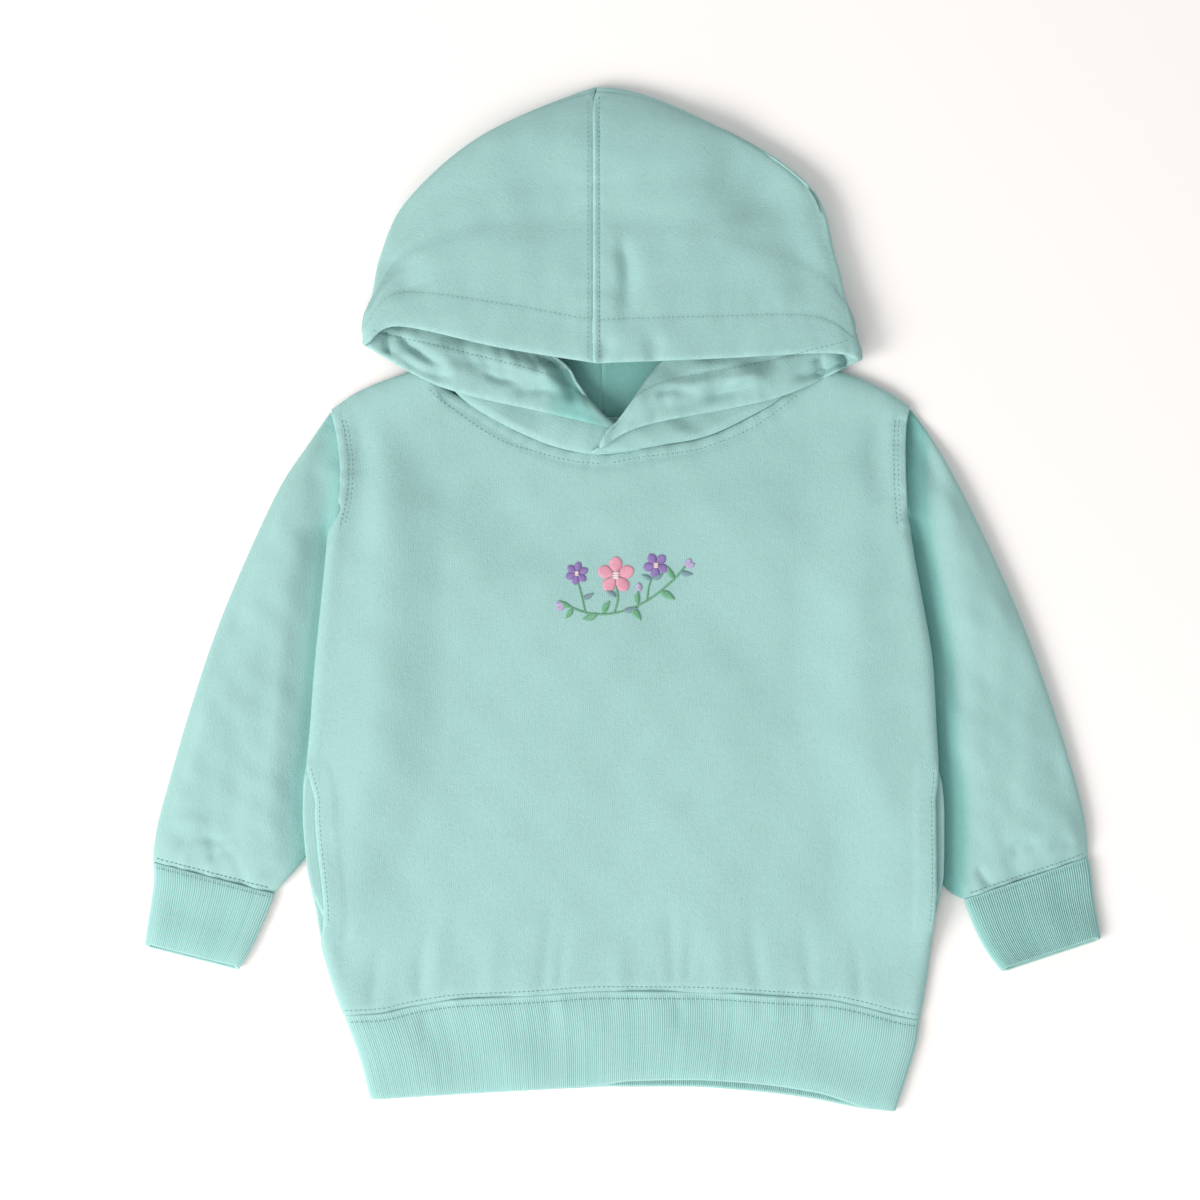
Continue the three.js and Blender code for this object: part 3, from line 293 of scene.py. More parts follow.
def puckers(path, X, Y, seed, pitch, size, reach, ease=1.6):
    """Small uneven ripples that run out from a stitched seam."""
    rng = np.random.default_rng(seed)
    total = np.linalg.norm(np.diff(path, axis=0), axis=1).sum()
    d, side, share = near(path, X, Y, reach * 3)
    n = max(4, int(total / pitch))
    knots = np.cumsum(rng.uniform(0.55, 1.5, n + 1))
    knots = (knots - knots[0]) / (knots[-1] - knots[0])
    phase = np.interp(share, knots, np.arange(n + 1) * np.pi)
    power = np.interp(share, knots, rng.uniform(0.35, 1.0, n + 1))
    spread = np.interp(share, knots, rng.uniform(0.6, 1.3, n + 1)) * reach
    return size * power * np.sin(phase) * np.exp(-(d / spread) ** ease)


def dip(path, X, Y, width, depth):
    d, _, _ = near(path, X, Y, width * 3)
    return -depth * np.exp(-(d / width) ** 2)


# ------------------------------------------------------------------ meshes
MADE = {}


def to_scene(P):
    return (P + np.array([SHIFT[0], SHIFT[1], 0.0])) * MM


def mesh_object(name, verts, faces, loop_uv=None, material=None):
    me = bpy.data.meshes.new(name)
    me.from_pydata(verts.tolist(), [], faces.tolist() if isinstance(faces, np.ndarray) else faces)
    if loop_uv is not None:
        layer = me.uv_layers.new(name="cloth")
        layer.data.foreach_set("uv", loop_uv.astype(np.float32).ravel())
    me.polygons.foreach_set("use_smooth", np.ones(len(me.polygons), bool))
    me.update()
    ob = bpy.data.objects.new(name, me)
    bpy.context.scene.collection.objects.link(ob)
    if material:
        me.materials.append(material)
    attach(ob, "root")
    return ob


def normals(P, ring):
    if ring:
        u = np.roll(P, -1, 1) - np.roll(P, 1, 1)
    else:
        u = np.gradient(P, axis=1)
    v = np.gradient(P, axis=0)
    n = np.cross(u, v)
    return n / np.maximum(np.linalg.norm(n, axis=2, keepdims=True), 1e-9)


def shell(name, P, thick, ring=False, relief=None, material=None, grain=(0, 0), painted_shade=None):
    """A closed sheet of cloth about a grid of points (mm), its cut edges rounded.
    relief moves the two faces out by its own amounts (outer, inner)."""
    R, C, _ = P.shape
    N = normals(P, ring)
    T = np.broadcast_to(np.asarray(thick, float), (R, C))
    A = P + N * (T / 2)[..., None]
    B = P - N * (T / 2)[..., None]
    if relief is not None:
        if relief[0] is not None:
            A = A + N * relief[0][..., None]
        if relief[1] is not None:
            B = B - N * relief[1][..., None]
    for side in (A, B):
        side[..., 2] = np.maximum(side[..., 2], 0.02)
    # cloth coordinates, cm
    du = np.linalg.norm(np.diff(P, axis=1, append=P[:, :1] if ring else P[:, -1:]), axis=2)
    dv = np.linalg.norm(np.diff(P, axis=0), axis=2)
    U = np.concatenate([np.zeros((R, 1)), np.cumsum(du, 1)], 1)
    U = U - (U[:, C:C + 1] if ring else U[:, C - 1:C]) / 2
    V = np.concatenate([np.zeros((1, C)), np.cumsum(dv, 0)], 0)
    V = np.concatenate([V, V[:, :1] if ring else V[:, -1:]], 1)
    U, V = U * 0.1 + grain[0], V * 0.1 + grain[1]
    # how near each point lies to a cut or sewn edge
    along, across = V - V[:1], U - U[:, :1]
    to_edge = np.minimum(along[:R, :C], along[R - 1:R, :C] - along[:R, :C])
    if not ring:
        to_edge = np.minimum(to_edge, np.minimum(across[:, :C], across[:, C - 1:C] - across[:, :C]))
    wear = 0.6 * np.exp(-(to_edge * 10 / 2.2) ** 2)
    base = R * C
    last = C if ring else C - 1
    i, j = np.meshgrid(np.arange(R - 1), np.arange(last), indexing="ij")
    i, j = i.ravel(), j.ravel()
    j2 = (j + 1) % C if ring else j + 1
    quad = np.stack([i * C + j, i * C + j2, (i + 1) * C + j2, (i + 1) * C + j], 1)
    corner = [(i, j), (i, j + 1), (i + 1, j + 1), (i + 1, j)]
    uv_top = np.stack([np.stack([U[a, b], V[a, b]], 1) for a, b in corner], 1)
    faces = [quad, quad[:, ::-1] + base]
    uvs = [uv_top, uv_top[:, ::-1] + np.array([37.0, 11.0])]
    verts = [A.reshape(-1, 3), B.reshape(-1, 3)]
    count = 2 * base
    loops = []
    if ring:
        jj = np.arange(C)
        loops.append((np.zeros(C, int), jj, np.ones(C, int), jj))
        loops.append((np.full(C, R - 1), jj[::-1], np.full(C, R - 2), jj[::-1]))
    else:
        pi = np.concatenate([np.zeros(C - 1, int), np.arange(R - 1), np.full(C - 1, R - 1), np.arange(R - 1, 0, -1)])
        pj = np.concatenate([np.arange(C - 1), np.full(R - 1, C - 1), np.arange(C - 1, 0, -1), np.zeros(R - 1, int)])
        loops.append((pi, pj, np.clip(pi, 1, R - 2), np.clip(pj, 1, C - 2)))
    for pi, pj, qi, qj in loops:
        out = P[pi, pj] - P[qi, qj]
        out /= np.maximum(np.linalg.norm(out, axis=1, keepdims=True), 1e-9)
        middle = (A[pi, pj] + B[pi, pj]) / 2 + out * (T[pi, pj] * 0.45)[:, None]
        middle[:, 2] = np.maximum(middle[:, 2], 0.02)
        n = len(pi)
        verts.append(middle)
        k = np.arange(n)
        k2 = (k + 1) % n
        top = pi * C + pj
        low = top + base
        mid = count + k
        count += n
        faces.append(np.stack([top[k2], top[k], mid[k], mid[k2]], 1))
        faces.append(np.stack([mid[k2], mid[k], low[k], low[k2]], 1))
        uvp = np.stack([U[pi, pj], V[pi, pj]], 1)
        edge = np.stack([uvp[k2], uvp[k], uvp[k], uvp[k2]], 1)
        shift = np.array([[0, 0], [0, 0], [0.08, 0.08], [0.08, 0.08]])
        far = np.abs(edge[:, 0] - edge[:, 1]).max(1) > 2
        edge[far, 0], edge[far, 3] = edge[far, 1], edge[far, 2]
        uvs += [edge + shift, edge + shift + 0.08]
    verts = np.concatenate(verts)
    faces, uvs = np.concatenate(faces), np.concatenate(uvs)
    a, b, c, d = (verts[faces[:, q]] for q in range(4))
    volume = (np.einsum("ij,ij->i", a, np.cross(b, c)) + np.einsum("ij,ij->i", a, np.cross(c, d))).sum()
    if volume < 0:
        faces, uvs = faces[:, ::-1], uvs[:, ::-1]
    ob = mesh_object(name, to_scene(verts), faces, uvs.reshape(-1, 2), material)
    worn = np.full(len(verts), 0.7)
    worn[:base], worn[base:2 * base] = wear.ravel(), wear.ravel()
    ob.data.attributes.new("wear", "FLOAT", "POINT").data.foreach_set("value", worn.astype(np.float32))
    # painted shade per point: the rib's grooves are darkened, and the caller's own painted shade is stored
    dark = np.zeros(len(verts))
    if relief is not None:
        for k in (0, 1):
            dark[k * base:(k + 1) * base] = np.clip(-relief[k] / 0.45, 0, 1).ravel() * 0.42
    if painted_shade is not None:
        dark[:base], dark[base:2 * base] = painted_shade.ravel(), painted_shade.ravel()
    ob.data.attributes.new("painted_shade", "FLOAT", "POINT").data.foreach_set("value", dark.astype(np.float32))
    MADE[name] = (ob, P, N)
    return ob


def tree_of(ob):
    me = ob.data
    co = np.zeros(len(me.vertices) * 3, np.float32)
    me.vertices.foreach_get("co", co)
    co = (co.reshape(-1, 3) / MM - np.array([SHIFT[0], SHIFT[1], 0.0])).tolist()
    return BVHTree.FromPolygons(co, [tuple(p.vertices) for p in me.polygons])


TREES = {}


def surface(names, x, y, below=False):
    """Height and normal of the highest (or lowest) of the named pieces at a place in plan."""
    best = None
    for name in names:
        if name not in TREES:
            TREES[name] = tree_of(MADE[name][0])
        hit = TREES[name].ray_cast(Vector((x, y, -50.0 if below else 80.0)), Vector((0, 0, 1.0 if below else -1.0)))
        if hit[0] is not None and (best is None or (hit[0].z < best[0] if below else hit[0].z > best[0])):
            best = (hit[0].z, hit[1])
    return best


# ------------------------------------------------------------------ materials
def node(tree, kind, **values):
    n = tree.nodes.new(kind)
    for k, v in values.items():
        if hasattr(n, k):
            setattr(n, k, v)
        else:
            n.inputs[k.replace("_", " ")].default_value = v
    return n


def noise(tree, vec, scale, detail=2.0, rough=0.5, distort=0.0):
    n = node(tree, "ShaderNodeTexNoise")
    n.inputs["Scale"].default_value = scale
    n.inputs["Detail"].default_value = detail
    n.inputs["Roughness"].default_value = rough
    n.inputs["Distortion"].default_value = distort
    tree.links.new(vec, n.inputs["Vector"])
    return n.outputs["Fac"]


def wave(tree, vec, pitch, axis, distort=0.0, scale=1.0):
    n = node(tree, "ShaderNodeTexWave")
    n.wave_type, n.bands_direction, n.wave_profile = "BANDS", axis, "SIN"
    n.inputs["Scale"].default_value = 0.31416 / pitch
    n.inputs["Distortion"].default_value = distort
    n.inputs["Detail"].default_value = 1.0
    n.inputs["Detail Scale"].default_value = scale
    tree.links.new(vec, n.inputs["Vector"])
    return n.outputs["Fac"]


def maths(tree, kind, a, b=None, clamp=False):
    n = node(tree, "ShaderNodeMath")
    n.operation, n.use_clamp = kind, clamp
    for slot, v in ((0, a), (1, b)):
        if v is None:
            continue
        if isinstance(v, (int, float)):
            n.inputs[slot].default_value = v
        else:
            tree.links.new(v, n.inputs[slot])
    return n.outputs[0]


def ramp(tree, fac, stops):
    n = node(tree, "ShaderNodeValToRGB")
    n.color_ramp.interpolation = "EASE"
    while len(n.color_ramp.elements) < len(stops):
        n.color_ramp.elements.new(0.5)
    for e, (p, c) in zip(n.color_ramp.elements, stops):
        e.position, e.color = p, (*c, 1.0)
    tree.links.new(fac, n.inputs["Fac"])
    return n.outputs["Color"]


def linear(rgb):
    return tuple((v / 255 / 12.92) if v / 255 <= 0.04045 else ((v / 255 + 0.055) / 1.055) ** 2.4 for v in rgb)


def scaled(c, k):
    return tuple(min(1.0, v * k) for v in c)


MINT = tuple(v * k for v, k in zip(linear((166, 211, 206)), (0.918, 0.895, 0.908)))


def knit(name, color, wale=0.105, course=0.085, grain=0.75, depth=0.7, sheen=0.12, variation=0.09,
         wales=0.14):
    """Jersey seen close: wales and courses, the nap's fine grain and slow changes of shade."""
    m = bpy.data.materials.new(name)
    m.use_nodes = True
    t = m.node_tree
    t.nodes.clear()
    out = node(t, "ShaderNodeOutputMaterial")
    bsdf = node(t, "ShaderNodeBsdfPrincipled")
    t.links.new(bsdf.outputs[0], out.inputs["Surface"])
    uv = node(t, "ShaderNodeUVMap")
    uv.uv_map = "cloth"
    v = uv.outputs[0]
    rows = wave(t, v, wale, "X", 0.6, 2.0)
    lines = wave(t, v, course, "Y", 0.9, 3.0)
    loops = maths(t, "MULTIPLY", rows, maths(t, "ADD", maths(t, "MULTIPLY", lines, 0.45), 0.55))
    nap = noise(t, v, 9.0, 3.0, 0.62, 0.4)
    fluff = noise(t, v, 3.1, 3.0, 0.6)
    slow = noise(t, v, 0.33, 2.0, 0.5)
    height = maths(t, "ADD", maths(t, "MULTIPLY", loops, wales), maths(t, "MULTIPLY", nap, grain))
    height = maths(t, "ADD", height, maths(t, "MULTIPLY", fluff, 0.35))
    bump = node(t, "ShaderNodeBump")
    bump.inputs["Strength"].default_value = depth
    bump.inputs["Distance"].default_value = 0.0006
    t.links.new(height, bump.inputs["Height"])
    t.links.new(bump.outputs[0], bsdf.inputs["Normal"])
    shade = maths(t, "ADD", maths(t, "MULTIPLY", maths(t, "SUBTRACT", nap, 0.5), 1.5),
                  maths(t, "MULTIPLY", maths(t, "SUBTRACT", fluff, 0.5), 1.0))
    shade = maths(t, "ADD", shade, maths(t, "MULTIPLY", maths(t, "SUBTRACT", slow, 0.5), 0.45))
    shade = maths(t, "ADD", shade, maths(t, "MULTIPLY", maths(t, "SUBTRACT", loops, 0.4), 0.22))
    worn = node(t, "ShaderNodeAttribute")
    worn.attribute_name = "wear"
    rubbed = maths(t, "MULTIPLY", worn.outputs["Fac"], maths(t, "ADD", fluff, 0.25))
    shade = maths(t, "ADD", shade, maths(t, "MULTIPLY", rubbed, 0.9))
    shade = maths(t, "ADD", maths(t, "MULTIPLY", shade, 0.6), 0.5, True)
    col = ramp(t, shade, [(0.0, scaled(color, 1 - 1.9 * variation)), (0.5, color), (1.0, scaled(color, 1 + 1.6 * variation))])
    # painted shade, a dark teal tint: in the grooves of the rib, and on cloth that lies deep inside or beside and under
    # other pieces
    painted_shade = node(t, "ShaderNodeAttribute")
    painted_shade.attribute_name = "painted_shade"
    tint = ramp(t, painted_shade.outputs["Fac"], [(0.0, (1.0, 1.0, 1.0)), (0.3, (0.66, 0.88, 0.86)), (1.0, (0.26, 0.49, 0.46))])
    scale = node(t, "ShaderNodeVectorMath")
    scale.operation = "MULTIPLY"
    t.links.new(col, scale.inputs[0])
    t.links.new(tint, scale.inputs[1])
    t.links.new(scale.outputs[0], bsdf.inputs["Base Color"])
    bsdf.inputs["Roughness"].default_value = 0.95
    bsdf.inputs["Specular IOR Level"].default_value = 0.06
    bsdf.inputs["Sheen Weight"].default_value = sheen
    bsdf.inputs["Sheen Roughness"].default_value = 0.55
    bsdf.inputs["Sheen Tint"].default_value = (0.78, 0.95, 0.93, 1.0)
    return m


def thread(name, color, pitch=0.045, sheen=0.25, rough=0.55, spec=0.35, cross=0.12):
    """Sewing or embroidery thread: fine lines side by side with a soft lustre."""
    m = bpy.data.materials.new(name)
    m.use_nodes = True
    t = m.node_tree
    t.nodes.clear()
    out = node(t, "ShaderNodeOutputMaterial")
    bsdf = node(t, "ShaderNodeBsdfPrincipled")
    t.links.new(bsdf.outputs[0], out.inputs["Surface"])
    uv = node(t, "ShaderNodeUVMap")
    uv.uv_map = "cloth"
    v = uv.outputs[0]
    lines = wave(t, v, pitch, "X", 0.5, 2.0)
    nap = noise(t, v, 6.0, 2.0)
    bump = node(t, "ShaderNodeBump")
    bump.inputs["Strength"].default_value = 0.6
    bump.inputs["Distance"].default_value = 0.00025
    t.links.new(lines, bump.inputs["Height"])
    t.links.new(bump.outputs[0], bsdf.inputs["Normal"])
    shade = maths(t, "ADD", maths(t, "MULTIPLY", lines, 0.5), maths(t, "MULTIPLY", nap, 0.5), True)
    col = ramp(t, shade, [(0.0, scaled(color, 1 - cross * 1.6)), (0.5, color), (1.0, scaled(color, 1 + cross))])
    t.links.new(col, bsdf.inputs["Base Color"])
    bsdf.inputs["Roughness"].default_value = rough
    bsdf.inputs["Specular IOR Level"].default_value = spec
    bsdf.inputs["Sheen Weight"].default_value = sheen
    bsdf.inputs["Sheen Roughness"].default_value = 0.5
    return m


JERSEY = knit("jersey_mint", MINT)
JERSEY_RIB = knit("rib_mint", scaled(MINT, 1.07), wale=0.118, course=0.1, grain=0.35, depth=0.35, variation=0.05)
POCKETING = knit("pocket_mint", scaled(MINT, 1.02), wale=0.16, course=0.1, grain=0.3, depth=0.6)
# the thread's colour is darkened below the cloth's as painted shade for the stitch holes
SEWING = thread("sewing_mint", scaled(MINT, 0.84), pitch=0.03)

# ------------------------------------------------------------------ body
FRONT_FOLDS = [
    # points, width, height, lean, taper start, taper end
    ([(420, 1000), (423, 962), (431, 905)], 4.5, -0.62, 0.3, 0, 0.7),
    ([(434, 1000), (438, 960), (449, 880)], 6.0, 0.6, 0.0, 0, 0.7),
    ([(541, 992), (546, 950), (553, 880)], 4.5, -0.62, -0.3, 0, 0.7),
    ([(560, 992), (563, 945), (572, 905)], 4.0, -0.62, 0.2, 0, 0.7),
    ([(676, 992), (673, 945), (668, 880)], 4.5, -0.62, 0.3, 0, 0.7),
    ([(686, 992), (690, 950), (697, 900)], 4.0, -0.55, 0.0, 0, 0.7),
    ([(761, 994), (755, 950), (748, 880)], 5.0, -0.62, 0.2, 0, 0.7),
    ([(811, 997), (806, 950), (799, 895)], 4.5, -0.55, 0.0, 0, 0.7),
    ([(860, 1004), (857, 965), (850, 925)], 4.0, -0.55, 0.0, 0, 0.7),
    ([(372, 1006), (377, 965), (386, 920)], 4.5, -0.62, 0.0, 0, 0.7),
    ([(490, 996), (492, 960), (497, 910)], 6.0, 0.5, 0.0, 0, 0.7),
    ([(617, 992), (618, 955), (621, 905)], 7.0, 0.5, 0.0, 0, 0.7),
    ([(722, 992), (719, 955), (715, 900)], 6.5, 0.5, 0.0, 0, 0.7),
    # inside the left armhole
    ([(350, 400), (360, 455), (357, 530), (345, 590)], 9.0, -1.6, 0.3, 0.3, 0.5),
    ([(378, 410), (388, 470), (384, 560)], 11.0, 0.9, 0.0, 0.4, 0.5),
    # inside the right armhole
    ([(884, 405), (878, 455), (884, 520)], 8.0, -1.2, -0.3, 0.3, 0.5),
    # broad slack across the chest and belly
    ([(420, 480), (520, 540), (640, 560)], 22.0, -0.9, 0.4, 0.4, 0.4),
    ([(800, 470), (760, 560), (770, 660)], 24.0, 0.8, 0.2, 0.4, 0.4),
    ([(400, 700), (520, 730), (640, 720), (760, 690)], 26.0, 0.8, 0.3, 0.4, 0.4),
    ([(430, 800), (540, 830), (680, 826)], 24.0, -0.8, 0.3, 0.4, 0.4),
    ([(850, 760), (800, 840), (770, 900)], 20.0, 0.8, 0.2, 0.4, 0.4),
    ([(336, 770), (343, 830), (340, 900)], 8.0, -0.5, 0.3, 0.3, 0.4),
]
NECK_PATH = curve([(x, float(front_neck(x))) for x in np.linspace(-104, 102, 40)], 2.0)
HEM_PATH = curve([(x, float(hem(x))) for x in np.linspace(-153, 163, 40)], 2.0)
ARM_PATH = {s: curve([(float(armhole(s, y)), y) for y in np.linspace(103.0, 34.0, 24)], 2.0) for s in SLEEVES}
SHOULDER_PATH = {
    "left": curve([(x, float(shoulder(x))) for x in np.linspace(-158.5, -104.8, 16)], 2.0),
    "right": curve([(x, float(shoulder(x))) for x in np.linspace(103.1, 156.5, 16)], 2.0)}


def edge_places(width, near_edge, step):
    """Places across a panel, closer together near both edges."""
    inner = np.linspace(near_edge[-1], width - near_edge[-1], int((width - 2 * near_edge[-1]) / step) + 1)
    ends = np.array(near_edge[:-1], float)
    return np.concatenate([ends, inner, width - ends[::-1]]) / width


def panel_grid(kind, step):
    neck = front_neck if kind == "front" else back_neck
    us = edge_places(335.0, [0, 0.5, 1.1, 1.8, 2.6, 3.5, 4.5, 5.6, 6.8, 8.2, 9.7], step)
    vs = edge_places(333.0, [0, 0.6, 1.3, 2.2, 3.3, 4.6, 6.0], step)

    def side(which, v):
        low, top = hem(-153.2 if which == "left" else 163.6), shoulder(-158.6 if which == "left" else 156.4)
        y = mix(low, top, v)
        back = set_back[which](y) if kind == "front" else 0.8 * smooth((ARM_LOW - y) / 10)
        return silhouette(which, y) + into(which) * back, y

    def top_y(x):
        return np.where((x > -104.8) & (x < 103.1), neck(x), shoulder(x)) - GAP * 0.5

    u, v = np.meshgrid(us, vs)
    (lx, ly), (rx, ry) = side("left", v), side("right", v)
    (ltx, lty), (rtx, rty) = side("left", 1.0), side("right", 1.0)
    (lbx, lby), (rbx, rby) = side("left", 0.0), side("right", 0.0)
    xb, xt = mix(lbx, rbx, u), mix(ltx, rtx, u)
    x = mix(lx, rx, u)
    y = mix(ly, ry, u) + (1 - v) * (hem(xb) + GAP - mix(lby, rby, u)) + v * (top_y(xt) - mix(lty, rty, u))
    return dict(x=x, y=y, u=u, v=v, xt=xt, reach=top_y(xt) - y)


def front_panel():
    g = panel_grid("front", 1.75)
    x, y, u = g["x"], g["y"], g["u"]
    floor = CLOTH / 2 + lift(x, y)
    edge, full = floor + CLOTH + GAP, floor + CLOTH + PLY_GAP
    d = np.minimum(u, 1 - u) * 335
    opened = np.where(u < 0.5, smooth(set_back["left"](y) / 1.5), smooth(set_back["right"](y) / 1.5))
    rolled = smooth((56 - y) / 12) * (1 - opened)
    z = mix(full, mix(edge, full, roll(d, EDGE_ROLL)), rolled)
    z -= opened * 0.9 * (1 - roll(d + 0.4, 5.0))
    on_shoulder = (g["xt"] < -104.8) | (g["xt"] > 103.1)
    drop = np.where(on_shoulder, full - edge, 1.9 + 1.4 * smooth((np.abs(g["xt"]) - 84) / 20))
    z -= drop * (1 - roll(g["reach"] + 0.001, np.where(on_shoulder, 9.0, 14.0)))
    # seam valley along the armholes, the hem and the neck
    inner = smooth(d / 12)
    z += 1.45 * folds(FRONT_FOLDS, x, y) * mix(0.35, 1.0, inner) * mix(0.12, 1.0, smooth((y - hem(x)) / 11))
    z += swell(x, y, 11, 70, 160, 0.6) * inner
    z += swell(x, y, 12, 18, 44, 0.16) * inner
    # the belly stands highest, and the right edge lies up over the sleeve
    z += mix(4.6 * smooth(d / 48), 3.2 * smooth(d / 70), smooth((u - 0.2) / 0.6)) * smooth((96 - y) / 112) * smooth((y + 224) / 135)
    right_edge = (u > 0.5) * smooth((98 - y) / 30) * smooth((y + 205) / 30)
    z += right_edge * 2.0 * np.exp(-(d / 16) ** 2)
    for s in SLEEVES:
        z += dip(ARM_PATH[s], x, y, 2.4, 0.5) + puckers(ARM_PATH[s], x, y, 21 if s == "left" else 22, 5.6, 0.45, 9)
        inset = curve([(float(armhole(s, yy)) + into(s) * 5.6, yy) for yy in np.linspace(103, 40, 22)], 2.0)
        z += dip(inset, x, y, 1.9, 0.4)
        z += puckers(SHOULDER_PATH[s], x, y, 25 if s == "left" else 26, 6, 0.2, 6)
    z += puckers(NECK_PATH, x, y, 23, 5.5, 0.38, 9)
    z += dip(NECK_PATH + np.array([0, -6.6]), x, y, 1.8, 0.45)
    z += dip(HEM_PATH, x, y, 3.0, 0.9) + puckers(HEM_PATH, x, y, 24, 9.0, 0.3, 12, 1.2)
    z += dip(HEM_PATH + np.array([0, 2.6]), x, y, 1.5, 0.3)
    # never below the pocket bags
    bag = smooth((d - 14) / 3) * smooth((60 - d) / 5) * smooth((y + 191) / 6) * smooth((-85 - y) / 6)
    z = np.maximum(z, lift(x, y) + 5.55 - 5.0 * (1 - bag))
    thick = SKIN + 0.9 * opened * smooth((11 - d) / 1.5) * smooth(d / 0.8 + 0.6)
    P = np.stack([x, y, z], 2)
    return shell("cloth_front", P, thick, material=JERSEY, grain=(3.0, 5.0))


def back_panel():
    g = panel_grid("back", 3.2)
    x, y = g["x"], g["y"]
    z = SKIN / 2 + 0.05 + lift(x, y)
    d = np.minimum(g["u"], 1 - g["u"]) * 335
    z = z + smooth(d / 20) * smooth(g["reach"] / 20) * (0.35 + swell(x, y, 31, 50, 120, 0.22))
    for s in SLEEVES:
        z += puckers(ARM_PATH[s], x, y, 33, 6, 0.12, 8)
    z = np.maximum(z, SKIN / 2 + 0.03)
    return shell("cloth_back", np.stack([x, y, z], 2), SKIN, material=JERSEY, grain=(13.0, 25.0))


# ------------------------------------------------------------------ sleeves, cuffs, band
SLEEVE_FOLDS = {
    "left": [
        ([(176, 848), (200, 838), (232, 846)], 3.5, -1.5, 0.4, 0.3, 0.3),
        ([(170, 830), (190, 820), (214, 826)], 3.5, 0.8, 0.0, 0.3, 0.3),
        ([(206, 862), (222, 852), (240, 858)], 3.0, -1.3, 0.3, 0.3, 0.3),
        ([(208, 832), (212, 848), (214, 866)], 3.0, -0.9, 0.2, 0.3, 0.3),
        ([(236, 852), (240, 872), (246, 882)], 3.0, -0.9, -0.2, 0.3, 0.1),
        ([(300, 470), (280, 540), (255, 600)], 12.0, 1.1, 0.3, 0.4, 0.4),
        ([(290, 620), (262, 690), (240, 760)], 10.0, -1.0, 0.3, 0.4, 0.4),
        ([(214, 660), (200, 730), (190, 800)], 9.0, 0.8, 0.0, 0.4, 0.4),
        ([(318, 440), (310, 500), (308, 560)], 7.0, -0.9, -0.3, 0.3, 0.5),
    ],
    "right": [
        ([(976, 866), (982, 876), (990, 886)], 3.0, -1.3, 0.3, 0.2, 0.1),
        ([(1010, 858), (1022, 846), (1040, 844)], 3.5, -1.2, 0.3, 0.3, 0.3),
        ([(1046, 852), (1062, 842), (1078, 846)], 3.0, -1.0, 0.2, 0.3, 0.3),
        ([(1000, 842), (1020, 832), (1046, 828)], 4.0, 0.8, 0.0, 0.3, 0.3),
        ([(940, 470), (962, 540), (985, 610)], 12.0, 1.0, 0.3, 0.4, 0.4),
        ([(960, 600), (985, 690), (1000, 770)], 10.0, -0.9, 0.3, 0.4, 0.4),
        ([(1020, 680), (1034, 750), (1042, 810)], 9.0, 0.8, 0.0, 0.4, 0.4),
        ([(926, 430), (934, 490), (936, 560)], 7.0, -0.8, 0.3, 0.3, 0.5),
    ]}


def flat_loop(count, thick, width, height, edge_power=2.6):
    """Places round a flattened tube: share across p and height share, top first from the outer edge."""
    a = (np.arange(count) / count) * 2 * np.pi
    c, s = -np.cos(a), np.sin(a)
    p = 0.5 + 0.5 * np.sign(c) * np.abs(c) ** (2 / edge_power * 1.15)
    h = np.sign(s) * np.abs(s) ** (2 / edge_power)
    return p, h


